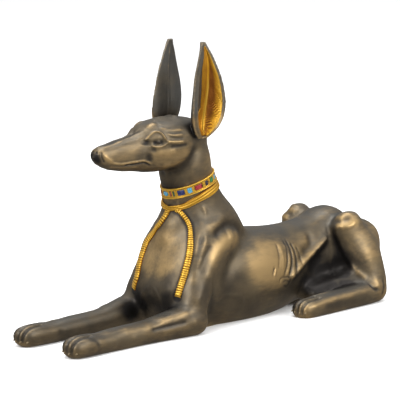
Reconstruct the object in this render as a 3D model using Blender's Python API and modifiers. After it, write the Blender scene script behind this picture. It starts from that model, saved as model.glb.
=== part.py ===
"""Reclining jackal figurine, cast in one piece, with a jewelled collar and a scarf in low relief.

The animal faces -Y and its left side is +X. It lies on the floor, which is Z = 0. Its forms are
lofts through named stations, fused into one skin, smoothed, carved with strokes and cut flat below.
"""

import math

import bmesh
import bpy
import numpy as np
from mathutils import Vector
from mathutils.bvhtree import BVHTree

# Driving dimensions, in metres
FIGURE_LENGTH = 0.296  # claws of the forepaws to the back of the haunches
EAR_WALL = 0.0026
EAR_FRONT_RIM = 0.0024
EAR_TURNED_OUT = 0.0014
COLLAR_WIDTH = 0.0088
COLLAR_PROUD = 0.0014
SCARF_WIDTH = 0.0056
SCARF_END_WIDTH = 0.0044
SCARF_PROUD = 0.0016

# Every place on the figure below is in units of a 296th of its length, about a millimetre each
UNIT = FIGURE_LENGTH / 296

# The skin: voxels and rounds of smoothing of its two fusings, and its count of triangles
BLEND_VOXEL = 2.2
SKIN_VOXEL = 1.1
BLEND_ROUNDS = 80
EAR_ROUNDS = 6
SKIN_TRIANGLES = 7600
# The skin is first cut this far under the floor, so that thinning leaves its lower rim sharp
ROUGH_CUT = -0.8

# Sections of the lofts: 2 is an ellipse, more is nearer to a rectangle
TRUNK_SQUARENESS = 2.2
BREAST_SQUARENESS = 3.0
NECK_SQUARENESS = 2.1
HEAD_SQUARENESS = 2.4
TAIL_SQUARENESS = 2.0
LIMB_SQUARENESS = 2.2

# Edge of a stroke of relief: a soft rounded stroke or a flat band with steep flanks
SOFT_EDGE = 2
FLAT_EDGE = 6
STROKE_STRIDE = 2.0

# Half the front-to-back width from which the whole ear is turned out, and the curve of its cup
EAR_BROAD_HALF = 8
EAR_CUP_CURVE = 1.2

# Stations: x, y, z, half width, half depth. The half depth lies across the path, in the Y-Z plane.
TRUNK = (
    (0, -8, 28, 22, 28),
    (0, 6, 27, 25.5, 33),
    (0, 26, 26, 27.5, 33.5),
    (0, 50, 26, 27, 33.4),
    (0, 74, 27, 23.5, 30.2),
    (0, 96, 29, 19.5, 28),
    (0, 116, 30, 19, 29.4),
    (0, 135, 30, 23, 33.4),
    (0, 141, 29, 22.5, 30),
)
BREAST = (
    (0, -8, 8, 20, 24),
    (0, -10, 25, 28, 27.5),
    (0, -9, 36, 28.5, 25.5),
    (0, -8, 46, 28.5, 23),
    (0, -5.5, 56, 27, 21),
    (0, -2, 64, 23.5, 21),
)
NECK = (
    (0, 9, 54, 20, 36),
    (0, 9.5, 60, 20.5, 37),
    (0, 8, 66, 21.5, 33.6),
    (0, 6.6, 72, 20.8, 31),
    (0, 6, 78, 18.8, 26.8),
    (0, 3.4, 85, 16.9, 22.4),
    (0, -1.2, 95, 16.6, 19.6),
    (0, -5.1, 106, 16.9, 18.4),
    (0, -6, 117, 15.8, 17.6),
    (0, -8, 126, 13, 15),
)
HEAD = (
    (0, -1, 124, 12, 14.5),
    (0, -8, 124.5, 15, 16),
    (0, -20, 124.5, 17.2, 16.6),
    (0, -30, 124, 16.8, 17),
    (0, -39, 122.8, 14.8, 16.4),
    (0, -46, 121.4, 12.2, 14.4),
    (0, -52, 120.8, 10.6, 12.4),
    (0, -60, 120.4, 9, 11),
    (0, -70, 120.4, 7.8, 9.5),
    (0, -78, 120.9, 6.7, 7.5),
    (0, -82.5, 122, 5.8, 5.8),
)
UPPER_ARM = (
    (14, 21, 56, 8, 11),
    (16.5, 8, 51.5, 9.6, 13),
    (20, -8, 43, 9.6, 12.8),
    (22.8, -17, 30, 9.4, 12),
    (25, -23, 18, 9.2, 10.6),
    (26, -24.3, 10, 8.8, 9),
)
FOREARM = (
    (27, -22.6, 9.2, 8.8, 10),
    (26, -31, 9.6, 9.2, 10.8),
    (24.2, -44, 8.2, 9, 9.8),
    (23.2, -62, 6.8, 8.3, 8.2),
    (22.9, -84, 6.3, 7.9, 7.8),
    (22.9, -97, 6.2, 8, 7.4),
    (23.1, -108, 6, 8.4, 6.9),
    (23.4, -119, 6.6, 9, 7.3),
    (23.4, -126.8, 6.4, 8.6, 6.8),
)
THIGH = (
    (18, 130, 36, 10, 17),
    (21, 140.5, 34, 14, 23.2),
    (23, 145.6, 32.5, 13.5, 22),
)
HAUNCH = (
    (20, 100, 8, 9, 8),
    (25, 122, 10, 12, 11),
    (28, 136, 15, 13, 15),
    (27.5, 141.5, 17, 13, 15.5),
)
SHANK = (
    (23.5, 130, 53.5, 9, 12),
    (25.5, 133.2, 46, 9.6, 13),
    (30, 138, 36, 9.6, 14.6),
    (34, 140.5, 25, 9, 13),
    (38.6, 142, 13, 8, 10.5),
)
FOOT = (
    (40.2, 143, 8.5, 7.6, 9),
    (41, 127, 7.2, 7.8, 8.4),
    (41.5, 106, 6.4, 7.8, 7.8),
    (41.5, 86, 5.8, 8.6, 7.6),
    (41.5, 67, 5, 8.8, 6.8),
)
TAIL = (
    (-1, 145.5, 45, 5.5, 5.5),
    (-2, 152.5, 34, 5, 5),
    (-6, 155.5, 18, 4.8, 4.8),
    (-17, 154, 6.5, 4.5, 4.5),
    (-32, 150.5, 4.4, 4, 4),
)
# Ear stations, from the root up: height, x of the rim, y of its front and back edge, depth of cup
EAR = (
    (127.5, 19, -10, -4, 3),
    (131.5, 20.5, -13, 0.5, 7),
    (138, 21, -15, 6.5, 9.4),
    (148, 20.8, -15, 10, 9.2),
    (158, 20, -13.6, 9.8, 7),
    (168, 19.2, -11.8, 7.3, 5),
    (176, 18.4, -9.3, 4.2, 3.8),
    (183, 17.5, -6.8, 1.2, 3.2),
    (187.5, 16.8, -5.2, -1.4, 3),
    (190.5, 16.2, -4.2, -2.8, 2.6),
)


# Strokes: height over the skin, reach to each side, then the path. All are carved on both sides.
STROKES = (
    # Brow, eye and muzzle
    (1.6, 2.6, ((9, -47, 134), (8, -41, 138), (8, -32, 140.5), (10, -24, 140), (13.5, -17, 136))),
    (0.9, 1.4, ((11, -38, 136), (13.5, -33.5, 135), (14.5, -27, 135), (15.5, -21.5, 133))),
    (1.5, 2.8, ((9.5, -46, 132.5), (9.8, -43, 136), (9.5, -38, 138))),
    (1.4, 1.3, ((9.5, -50.5, 129), (10, -46.5, 132), (12, -40, 135), (14.5, -36.5, 131))),
    (1.2, 1.3, ((15, -36.5, 128.5), (17, -27.5, 128), (17, -22, 128))),
    (0.9, 1.2, ((11.5, -47.5, 126.5), (13, -43.5, 124.5), (15.5, -35.5, 127))),
    (1, 2.6, ((13, -43, 129), (14, -40.5, 129))),
    (-1.6, 2.4, ((8.5, -48.5, 132.5), (10.5, -50, 126.5))),
    (1, 2.2, ((12, -47, 122.5), (14.5, -40, 121.5), (16.5, -32.5, 122.5), (17.5, -23.5, 124.5))),
    (-1.1, 1.9, ((11.5, -48, 121.5), (11.5, -46.5, 117.5))),
    (1, 1.5, ((3.5, -80, 127.5), (4, -70.5, 129.5), (5, -57, 132), (7, -49, 134.5))),
    (-1.4, 1.2, ((5.5, -83, 118), (5.5, -77.5, 115.5), (7.5, -65.5, 115), (10, -49.5, 114.5))),
    (1.2, 2.6, ((8.5, -38, 109), (9.5, -27, 108.5), (14, -19, 111), (16.5, -14.5, 119))),
    (-1.5, 2.2, ((5, -25, 103), (12.5, -18, 105), (16.5, -11, 111), (16.5, -8, 119.5))),
    # Neck and shoulder
    (1, 2.6, ((16, -7.5, 86), (17, -5.5, 79.5), (18.5, -6.5, 73))),
    (-1.6, 3.4, ((24, 0.5, 63.5), (22.5, 7, 67), (21.5, 16, 67.5), (15, 32, 61))),
    (1.2, 4.2, ((26, 7.5, 61.5), (24.5, 17, 62.5))),
    (1.5, 4, ((26.5, 14.5, 59), (29, 0, 56.5), (31.5, -12.5, 46.5), (33, -19, 37))),
    (-1.1, 2.4, ((25, 2, 62), (27.5, -11, 53.5), (30.5, -18.5, 44), (32.5, -22, 33.5))),
    (1, 3, ((22.5, -3, 65.5), (25, -11.5, 57.5), (27.5, -19, 47), (30.5, -24, 25.5))),
    # Ribs, flank and knee
    (-0.8, 1.3, ((21, 60, 47), (24, 59.5, 39.5), (26, 58, 31))),
    (-1.1, 1.3, ((17.5, 68, 50.5), (22, 68, 41.5), (25, 64.5, 31.5))),
    (-1.2, 1.3, ((17.5, 73.5, 50), (21.5, 74, 41), (24, 70.5, 31), (24.5, 67.5, 26))),
    (-1.1, 1.3, ((18, 78, 48), (21, 79.5, 38.5), (23, 77, 30), (23.5, 74, 25.5))),
    (2.6, 3.2, ((20.5, 121, 52), (17.5, 112.5, 42.5), (19, 97.5, 34.5), (24, 71.5, 23))),
    (-3, 6, ((19, 119.5, 38.5), (18.5, 110.5, 29), (19.5, 99.5, 20.5), (22.5, 119, 22.5))),
    (1.2, 2.4, ((25, 119.5, 51.5), (29, 122, 41), (32.5, 126, 30), (39.5, 131, 20))),
    (1, 1.8, ((23.2, 122, 57), (28.5, 122.5, 55.5), (31.5, 127.5, 55.5), (31, 134, 57.5))),
    (-1.6, 2.6, ((28.5, 122.5, 59), (31, 127.5, 59.5))),
    (-0.9, 1.3, ((44.5, 127.5, 14.5), (48, 132, 12.5), (48, 138.5, 12))),
    # Foreleg and toes
    (-1, 1.9, ((28.5, -98.5, 12.5), (29, -83, 13.5), (30, -61.5, 14.5), (31.5, -42.5, 15))),
    (-1.5, 1.2, ((18.9, -116, 14), (18.7, -126, 13), (18.7, -133, 9), (18.7, -136, 3))),
    (-1.5, 1.2, ((23.4, -116, 15), (23.4, -126, 14), (23.4, -133, 10), (23.4, -136, 3))),
    (-1.5, 1.2, ((27.9, -116, 14), (28.1, -126, 13), (28.1, -133, 9), (28.1, -136, 3))),
    (-1.4, 1.2, ((37, 78, 12), (37, 68, 11), (37, 61, 8), (37, 59, 3))),
    (-1.4, 1.2, ((41.5, 78, 13), (41.5, 68, 12), (41.5, 61, 8), (41.5, 59, 3))),
    (-1.4, 1.2, ((46, 78, 12), (46, 68, 11), (46, 61, 8), (46, 59, 3))),
)
# Paths of the left half of the scarf: round the neck from the knot to the nape, and the loose end
SCARF_RING = (
    (0, -20, 78.5),
    (10, -16, 81),
    (16, -6, 86),
    (17, 4, 89.5),
    (11, 15, 93),
    (0, 21, 94),
)
SCARF_END = (
    (4, -20, 78),
    (10, -17.5, 75.5),
    (14, -17, 72.5),
    (18, -17, 67),
    (21, -19, 61),
    (23, -21.5, 54),
    (24, -24.5, 45.5),
    (23.5, -27.5, 36.5),
    (21.5, -29.5, 25),
)
# The collar lies on a tilted plane: height over the neck's axis, rise to the back
COLLAR_HEIGHT = 95
COLLAR_RISE = 0.34
COLLAR_ROUND = 20


def collar_and_scarf():
    """Rows of flat relief: the collar, the scarf round the neck and its two loose ends."""
    turns = [math.pi * step / 12 for step in range(13)]
    ring = [(COLLAR_ROUND * math.sin(turn), -COLLAR_ROUND * math.cos(turn)) for turn in turns]
    collar = [(x, y, COLLAR_HEIGHT + COLLAR_RISE * y) for x, y in ring]
    return (
        (COLLAR_PROUD / UNIT, COLLAR_WIDTH / UNIT / 2, collar),
        (SCARF_PROUD / UNIT, SCARF_WIDTH / UNIT / 2, SCARF_RING),
        (SCARF_PROUD / UNIT, SCARF_END_WIDTH / UNIT / 2, SCARF_END),
    )


def bronze():
    """Bronze-coloured finish of the casting."""
    material = bpy.data.materials.new("bronze_patina")
    material.use_nodes = True
    surface = material.node_tree.nodes["Principled BSDF"]
    surface.inputs["Base Color"].default_value = (0.13, 0.1, 0.07, 1)
    surface.inputs["Metallic"].default_value = 0.9
    surface.inputs["Roughness"].default_value = 0.4
    return material


def clear_scene():
    for thing in list(bpy.data.objects):
        bpy.data.objects.remove(thing, do_unlink=True)


def collection(name):
    made = bpy.data.collections.new(name)
    bpy.context.scene.collection.children.link(made)
    return made


def read_along(stations, count, place_columns=3):
    """Rows at even steps along the smooth curve that passes through every station."""
    rows = np.array(stations, float)
    strides = np.linalg.norm(np.diff(rows[:, :place_columns], axis=0), axis=1)
    reach = np.concatenate([[0.0], np.cumsum(strides)])
    slope = np.gradient(rows, reach, axis=0)
    places = np.linspace(0.0, reach[-1], count)
    first = np.clip(np.searchsorted(reach, places, side="right") - 1, 0, len(rows) - 2)
    gap = (reach[first + 1] - reach[first])[:, None]
    t = (places - reach[first])[:, None] / gap
    start = (1 + 2 * t) * (1 - t) ** 2 * rows[first] + t * (1 - t) ** 2 * gap * slope[first]
    end = t**2 * (3 - 2 * t) * rows[first + 1] + t**2 * (t - 1) * gap * slope[first + 1]
    return start + end


def rounded_ends(rows, steps=4):
    """The rows with a rounded cap added at both ends, as long as the end section is deep."""
    caps = []
    for end, inner in ((rows[0], rows[1]), (rows[-1], rows[-2])):
        outward = end[:3] - inner[:3]
        outward /= np.linalg.norm(outward)
        cap = []
        for turn in np.linspace(0, math.pi / 2, steps + 1)[1:-1]:
            row = end.copy()
            row[:3] += outward * min(end[3], end[4]) * math.sin(turn)
            row[3:] *= math.cos(turn)
            cap.append(row)
        caps.append(cap)
    return np.array(caps[0][::-1] + list(rows) + caps[1])


def add_loft(shape, stations, mirrored, squareness, level=False, count=28, sides=28):
    """Adds a closed tube to the bmesh, with superelliptic sections read along the stations.

    The sections stand square to the path, or lie level if asked.
    """
    rows = rounded_ends(read_along(stations, count))
    tangents = np.gradient(rows[:, :3], axis=0)
    across = Vector((-1 if mirrored else 1, 1, 1))
    rings = []
    for row, tangent in zip(rows, tangents):
        along = Vector((0, 0, 1)) if level else Vector(tangent).normalized()
        side = (Vector((1, 0, 0)) - along * along.x).normalized()
        rise = side.cross(along)
        ring = []
        for step in range(sides):
            turn = 2 * math.pi * step / sides
            c, s = math.cos(turn), math.sin(turn)
            wide = math.copysign(abs(c) ** (2 / squareness), c) * row[3]
            deep = math.copysign(abs(s) ** (2 / squareness), s) * row[4]
            point = Vector(row[:3]) + side * wide + rise * deep
            ring.append(shape.verts.new(point * across * UNIT))
        rings.append(ring)
    faces = [shape.faces.new(rings[0]), shape.faces.new(rings[-1])]
    for low, high in zip(rings, rings[1:]):
        for i in range(sides):
            j = (i + 1) % sides
            faces.append(shape.faces.new((low[i], low[j], high[j], high[i])))
    bmesh.ops.recalc_face_normals(shape, faces=faces)


def add_ear(shape, mirrored, count=24, sides=14):
    """Adds one ear, a pointed leaf whose hollow face is turned to the side."""
    across = Vector((-1 if mirrored else 1, 1, 1))
    rings = []
    for height, rim, front, back, depth in read_along(EAR, count, 1):
        middle, half = (front + back) / 2, (back - front) / 2 - 0.5 * EAR_WALL / UNIT
        front_rim = min(EAR_FRONT_RIM / UNIT, 0.6 * max(half, 0))
        turned_out = EAR_TURNED_OUT / UNIT * min(max(half, 0) / EAR_BROAD_HALF, 1)
        ring = []
        for wall, turns in ((EAR_WALL / UNIT, range(sides + 1)), (0.0, range(sides, -1, -1))):
            for step in turns:
                turn = math.pi * step / sides
                y = middle - (half + wall) * math.cos(turn)
                if wall == 0:
                    y += front_rim * (1 + math.cos(turn)) / 2
                cup = max(depth - EAR_WALL / UNIT, 0.4) + wall
                x = rim - turned_out * math.cos(turn) - cup * math.sin(turn) ** EAR_CUP_CURVE
                ring.append(shape.verts.new(Vector((x, y, height)) * across * UNIT))
        rings.append(ring)
    faces = [shape.faces.new(rings[0]), shape.faces.new(rings[-1])]
    for low, high in zip(rings, rings[1:]):
        for i in range(len(low)):
            j = (i + 1) % len(low)
            faces.append(shape.faces.new((low[i], low[j], high[j], high[i])))
    bmesh.ops.recalc_face_normals(shape, faces=faces)


def fused_forms():
    """One mesh that holds every loft of the animal, still overlapping."""
    shape = bmesh.new()
    add_loft(shape, TRUNK, False, TRUNK_SQUARENESS)
    add_loft(shape, BREAST, False, BREAST_SQUARENESS, level=True)
    add_loft(shape, NECK, False, NECK_SQUARENESS, level=True)
    add_loft(shape, HEAD, False, HEAD_SQUARENESS)
    add_loft(shape, TAIL, False, TAIL_SQUARENESS)
    for mirrored in (False, True):
        for stations in (UPPER_ARM, FOREARM, THIGH, HAUNCH, SHANK, FOOT):
            add_loft(shape, stations, mirrored, LIMB_SQUARENESS)
    mesh = bpy.data.meshes.new("anubis_figurine")
    shape.to_mesh(mesh)
    shape.free()
    return mesh


def evaluated_copy(thing):
    graph = bpy.context.evaluated_depsgraph_get()
    return bpy.data.meshes.new_from_object(thing.evaluated_get(graph))


def apply_modifiers(thing):
    thing.data = evaluated_copy(thing)
    thing.modifiers.clear()


def vertex_places(mesh):
    flat = np.empty(len(mesh.vertices) * 3)
    mesh.vertices.foreach_get("co", flat)
    return flat.reshape(-1, 3)


def smooth(mesh, rounds):
    """Evens out the joins between the forms, without shrinking them."""
    places = vertex_places(mesh)
    ends = np.empty(len(mesh.edges) * 2, np.int64)
    mesh.edges.foreach_get("vertices", ends)
    a, b = ends.reshape(-1, 2).T
    count = np.bincount(ends, minlength=len(places))[:, None]
    for pull in (0.5, -0.52) * rounds:
        total = np.empty_like(places)
        for axis in range(3):
            total[:, axis] = np.bincount(a, places[b, axis], len(places))
            total[:, axis] += np.bincount(b, places[a, axis], len(places))
        places += pull * (total / count - places)
    mesh.vertices.foreach_set("co", places.ravel())
    mesh.update()


def add_ears(thing):
    """Joins the two ears to the mesh of the figure; they still overlap it."""
    shape = bmesh.new()
    shape.from_mesh(thing.data)
    for mirrored in (False, True):
        add_ear(shape, mirrored)
    shape.to_mesh(thing.data)
    shape.free()


def fuse(thing, voxel):
    """Turns the overlapping forms into one closed skin of even small faces."""
    remesh = thing.modifiers.new("fuse", "REMESH")
    remesh.mode = "VOXEL"
    remesh.voxel_size = voxel * UNIT
    apply_modifiers(thing)


def step_along(path, stride):
    """The path as points no further apart than the stride."""
    corners = np.array(path, float)
    points = [corners[0]]
    for start, end in zip(corners, corners[1:]):
        count = max(int(math.ceil(np.linalg.norm(end - start) / stride)), 1)
        points += [start + (end - start) * i / count for i in range(1, count + 1)]
    return np.array(points)


def distance_to_path(places, points):
    nearest = np.full(len(places), np.inf)
    for start, end in zip(points, points[1:]):
        along = end - start
        share = np.clip((places - start) @ along / (along @ along), 0, 1)[:, None]
        nearest = np.minimum(nearest, np.linalg.norm(places - start - share * along, axis=1))
    return nearest


def relief(mesh, rows, edge):
    """Pushes the skin out or in beside each path, on both sides of the figure.

    The edge says how soft the stroke's flanks are.
    """
    tree = BVHTree.FromPolygons(
        [vertex.co / UNIT for vertex in mesh.vertices],
        [face.vertices[:] for face in mesh.polygons],
    )
    places = vertex_places(mesh) / UNIT
    normals = np.empty(places.size)
    mesh.vertices.foreach_get("normal", normals)
    push = np.zeros(len(places))
    for height, reach, path in rows:
        for side in (1, -1):
            points = step_along(np.array(path, float) * (side, 1, 1), STROKE_STRIDE)
            points = np.array([tree.find_nearest(Vector(point))[0] for point in points])
            low, high = points.min(axis=0) - 3 * reach, points.max(axis=0) + 3 * reach
            near = np.flatnonzero(((places > low) & (places < high)).all(axis=1))
            offset = distance_to_path(places[near], points) / reach
            new_push = height * np.exp(-(offset**edge))
            if edge > SOFT_EDGE:
                push[near] = np.maximum(push[near], new_push)
            else:
                push[near] += new_push
    places += normals.reshape(-1, 3) * push[:, None]
    mesh.vertices.foreach_set("co", (places * UNIT).ravel())
    mesh.update()


def cut_below(mesh, height):
    """Removes what is lower than the height and closes the cut with flat faces."""
    shape = bmesh.new()
    shape.from_mesh(mesh)
    bmesh.ops.bisect_plane(
        shape,
        geom=shape.verts[:] + shape.edges[:] + shape.faces[:],
        dist=1e-7,
        plane_co=(0, 0, height),
        plane_no=(0, 0, 1),
        clear_inner=True,
    )
    rim = [edge for edge in shape.edges if edge.is_boundary]
    caps = bmesh.ops.holes_fill(shape, edges=rim)["faces"]
    bmesh.ops.triangulate(shape, faces=caps)
    bmesh.ops.recalc_face_normals(shape, faces=shape.faces[:])
    shape.to_mesh(mesh)
    shape.free()


def thin_out(thing, triangles):
    """Keeps the form with about this many triangles."""
    thing.data.calc_loop_triangles()
    decimate = thing.modifiers.new("thin_out", "DECIMATE")
    decimate.ratio = triangles / len(thing.data.loop_triangles)
    apply_modifiers(thing)


def centre_on_floor(mesh):
    """Moves the mesh so that the middle of its box stands over the origin, on Z = 0."""
    places = vertex_places(mesh)
    low, high = places.min(axis=0), places.max(axis=0)
    places -= ((low[0] + high[0]) / 2, (low[1] + high[1]) / 2, low[2])
    mesh.vertices.foreach_set("co", places.ravel())
    mesh.update()


def main():
    clear_scene()
    figure_parts = collection("anubis_figurine")
    figure = bpy.data.objects.new("anubis_figurine", fused_forms())
    figure_parts.objects.link(figure)
    fuse(figure, BLEND_VOXEL)
    smooth(figure.data, BLEND_ROUNDS)
    add_ears(figure)
    fuse(figure, SKIN_VOXEL)
    smooth(figure.data, EAR_ROUNDS)
    relief(figure.data, STROKES, SOFT_EDGE)
    relief(figure.data, collar_and_scarf(), FLAT_EDGE)
    cut_below(figure.data, ROUGH_CUT * UNIT)
    thin_out(figure, SKIN_TRIANGLES)
    cut_below(figure.data, 0)
    centre_on_floor(figure.data)
    figure.data.materials.clear()
    figure.data.materials.append(bronze())


main()
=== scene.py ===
"""A lying hound-shaped god, cast in one piece, dressed in bronze patina, gold paint and enamel."""

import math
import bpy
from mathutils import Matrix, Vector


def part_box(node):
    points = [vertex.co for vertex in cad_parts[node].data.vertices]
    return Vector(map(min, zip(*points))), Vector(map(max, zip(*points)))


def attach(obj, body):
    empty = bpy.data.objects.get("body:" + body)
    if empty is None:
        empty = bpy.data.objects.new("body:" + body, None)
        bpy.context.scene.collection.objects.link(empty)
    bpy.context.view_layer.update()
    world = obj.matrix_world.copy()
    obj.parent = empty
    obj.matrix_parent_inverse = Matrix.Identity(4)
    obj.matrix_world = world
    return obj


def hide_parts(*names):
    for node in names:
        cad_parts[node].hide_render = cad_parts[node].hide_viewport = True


bl_info = {
    "name": "Reclining jackal figurine",
    "version": (1, 0, 0),
    "blender": (4, 5, 0),
    "location": "3D View > Sidebar > Figurine",
    "description": "Builds the skin, collar, scarf, ear linings and studio of a bronze jackal",
    "category": "Object",
}

import bmesh
import bpy
import numpy as np
from bpy.props import FloatProperty, FloatVectorProperty, IntProperty, PointerProperty
from mathutils import Matrix, Vector
from mathutils.bvhtree import BVHTree

NODE = "anubis_figurine"

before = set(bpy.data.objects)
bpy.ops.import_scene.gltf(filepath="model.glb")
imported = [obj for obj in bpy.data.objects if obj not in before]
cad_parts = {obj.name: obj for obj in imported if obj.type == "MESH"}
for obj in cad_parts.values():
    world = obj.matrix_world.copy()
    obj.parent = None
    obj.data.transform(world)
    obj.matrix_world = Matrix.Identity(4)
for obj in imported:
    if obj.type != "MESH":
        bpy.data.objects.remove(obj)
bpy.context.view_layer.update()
CAD_LOW, CAD_HIGH = (Vector(corner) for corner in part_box(NODE))

# Places on the figure are in units of a 296th of its length, about a millimetre each. They count
# from a point under the neck; the front of the forepaws is at FRONT_OF_PAWS.
LENGTH_IN_UNITS = 296.42
FRONT_OF_PAWS = -133.175
UNIT = (CAD_HIGH.y - CAD_LOW.y) / LENGTH_IN_UNITS
FIGURE_TO_ROOM = Matrix.Translation((0, CAD_LOW.y - FRONT_OF_PAWS * UNIT, 0)) @ Matrix.Scale(UNIT, 4)

# The left side of the figure, which the photograph shows, and the right one
SIDES = (1, -1)
SIGNS = {"left": 1, "right": -1}

# The camera as it was fitted to the photograph: where it stands and aims, in units of the figure, its
# lens and film in millimetres, and the width of the square photograph in pixels
EYE_PLACE = Vector((1213.616, -1204.353, 369.580))
AIM_PLACE = Vector((-4.976, 14.239, 81.191))
LENS = 234.0
SENSOR = 36.0
PHOTOGRAPH_WIDTH = 400
# Closeups in which places were read off the photograph: left and top edge in pixels, enlargement
WHOLE_PHOTOGRAPH = (0, 0, 1)
HEAD_CLOSEUP = (80, 20, 9.8)
CHEST_CLOSEUP = (130, 180, 13.07)
FORELEG_CLOSEUP = (0, 230, 7.127)
REAR_CLOSEUP = (190, 190, 7.467)

# The ears: thickness of the wall, how far the front rim is rolled in, how far the edges turn out where
# an ear is at least as broad to each side as the next value, and how tightly the cup is curved
EAR_WALL = 2.6
EAR_FRONT_RIM = 2.4
EAR_TURNED_OUT = 1.4
EAR_BROAD_HALF = 8
EAR_CUP_CURVE = 1.2

# How fine the limbs are fused and how often they are smoothed, first all of them, then head and body
BLEND_VOXEL = 2.2
BLEND_ROUNDS = 80
HEAD_VOXEL = 0.5
HEAD_ROUNDS = 14
BODY_VOXEL = 0.75
BODY_ROUNDS = 3
# Rounds of smoothing after the carving, and of averaging when small and large bulges are read
CARVED_ROUNDS = 2
FINE_ROUNDS = 3
BROAD_ROUNDS = 24
SEED = 7
# Head and body are fused past the collar by this much, and then cut where it lies
CUT_SPARE = 9
PIECE_TRIANGLES = 190000

# Stations: x, y, z, half width, half depth. The half depth lies across the path, in the Y-Z plane.
TRUNK = (
    (0, -8, 28, 22, 28),
    (0, 6, 27, 25.5, 33),
    (0, 26, 26, 27.5, 33.5),
    (0, 50, 26, 27, 33.4),
    (0, 74, 27, 23.5, 30.2),
    (0, 96, 29, 19.5, 28),
    (0, 116, 30, 19, 29.4),
    (0, 135, 30, 23, 33.4),
    (0, 141, 29, 22.5, 30),
)
BREAST = (
    (0, -8, 8, 20, 24),
    (0, -10, 25, 28, 27.5),
    (0, -9, 36, 28.5, 25.5),
    (0, -8, 46, 28.5, 23),
    (0, -5.5, 56, 27, 21),
    (0, -2, 64, 23.5, 21),
)
NECK = (
    (0, 9, 54, 20, 36),
    (0, 9.5, 60, 20.5, 37),
    (0, 8, 66, 21.5, 33.6),
    (0, 6.6, 72, 20.8, 31),
    (0, 6, 78, 18.8, 26.8),
    (0, 3.4, 85, 16.9, 22.4),
    (0, -1.2, 95, 16.6, 19.6),
    (0, -5.1, 106, 16.9, 18.4),
    (0, -6, 117, 15.8, 17.6),
    (0, -8, 126, 13, 15),
)
HEAD = (
    (0, -1, 124, 12, 14.5),
    (0, -8, 124.5, 15, 16),
    (0, -20, 124.5, 17.2, 16.6),
    (0, -30, 124, 16.8, 17),
    (0, -39, 122.8, 14.8, 16.4),
    (0, -46, 121.4, 12.2, 14.4),
    (0, -52, 120.8, 10.6, 12.4),
    (0, -60, 120.4, 9, 11),
    (0, -70, 120.4, 7.8, 9.5),
    (0, -78, 120.9, 6.7, 7.5),
    (0, -82.5, 122, 5.8, 5.8),
)
UPPER_ARM = (
    (14, 21, 56, 8, 11),
    (16.5, 8, 51.5, 9.6, 13),
    (20, -8, 43, 9.6, 12.8),
    (22.8, -17, 30, 9.4, 12),
    (25, -23, 18, 9.2, 10.6),
    (26, -24.3, 10, 8.8, 9),
)
FOREARM = (
    (27, -22.6, 9.2, 8.8, 10),
    (26, -31, 9.6, 9.2, 10.8),
    (24.2, -44, 8.2, 9, 9.8),
    (23.2, -62, 6.8, 8.3, 8.2),
    (22.9, -84, 6.3, 7.9, 7.8),
    (22.9, -97, 6.2, 8, 7.4),
    (23.1, -108, 6, 8.4, 6.9),
    (23.4, -119, 6.6, 9, 7.3),
    (23.4, -126.8, 6.4, 8.6, 6.8),
)
THIGH = (
    (18, 130, 36, 10, 17),
    (21, 140.5, 34, 14, 23.2),
    (23, 145.6, 32.5, 13.5, 22),
)
HAUNCH = (
    (20, 100, 8, 9, 8),
    (25, 122, 10, 12, 11),
    (28, 136, 15, 13, 15),
    (27.5, 141.5, 17, 13, 15.5),
)
SHANK = (
    (23.5, 130, 53.5, 9, 12),
    (25.5, 133.2, 46, 9.6, 13),
    (30, 138, 36, 9.6, 14.6),
    (34, 140.5, 25, 9, 13),
    (38.6, 142, 13, 8, 10.5),
)
FOOT = (
    (40.2, 143, 8.5, 7.6, 9),
    (41, 127, 7.2, 7.8, 8.4),
    (41.5, 106, 6.4, 7.8, 7.8),
    (41.5, 86, 5.8, 8.6, 7.6),
    (41.5, 67, 5, 8.8, 6.8),
)
TAIL = (
    (-1, 145.5, 45, 5.5, 5.5),
    (-2, 152.5, 34, 5, 5),
    (-6, 155.5, 18, 4.8, 4.8),
    (-17, 154, 6.5, 4.5, 4.5),
    (-32, 150.5, 4.4, 4, 4),
)
# Ear stations, from the root up: height, x of the rim, y of its front and back edge, depth of cup
EAR = (
    (127.5, 19, -10, -4, 3),
    (131.5, 20.5, -13, 0.5, 7),
    (138, 21, -15, 6.5, 9.4),
    (148, 20.8, -15, 10, 9.2),
    (158, 20, -13.6, 9.8, 7),
    (168, 19.2, -11.8, 7.3, 5),
    (176, 18.4, -9.3, 4.2, 3.8),
    (183, 17.5, -6.8, 1.2, 3.2),
    (187.5, 16.8, -5.2, -1.4, 3),
    (190.5, 16.2, -4.2, -2.8, 2.6),
)

# Heights over which the skin turns to the grey of the painted sky reflection on the ears, and how much
# less bright bronze and painted highlight the ears get
EARS_FREE = (139, 147)
EARS_DIMMED = 0.4
# The seam up the back of an ear: turn round the cup, then height over the skin, reach and tone
EAR_SEAM_TURN = 1.17
EAR_SEAM = (0.5, 0.8, 0.3)

# Left half of the scarf's path round the neck, from the throat to the nape
SCARF_RING = (
    (0, -20, 79.6),
    (10, -16, 82.2),
    (16, -6, 87.8),
    (17, 4, 91.4),
    (11, 15, 94.8),
    (0, 21, 96),
)
# The loose ends of the scarf, from the throat down, as they show in the whole photograph
SCARF_ENDS = {
    "left": (
        (176.1, 210), (179.7, 211.8), (183.6, 216), (187.4, 221.3), (189.7, 226.7), (190.4, 233.6),
        (190.4, 241.2), (190.1, 248.9), (188.9, 256.5), (185.1, 271.8), (180.5, 287.1), (177.8, 297),
    ),
    "right": (
        (169.6, 208.7), (167.9, 210.6), (165.2, 216), (160.6, 222.6), (156, 229), (151.5, 235.2),
        (147, 241.2), (143.8, 248.9), (139.2, 264.2), (136, 279.5), (134, 288.6),
    ),
}
# Steps along a loose end, and its breadth as a share of the scarf end's width
SCARF_STEPS = 460
SCARF_END_BREADTH = {"left": 1.0, "right": 1.45}
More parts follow.
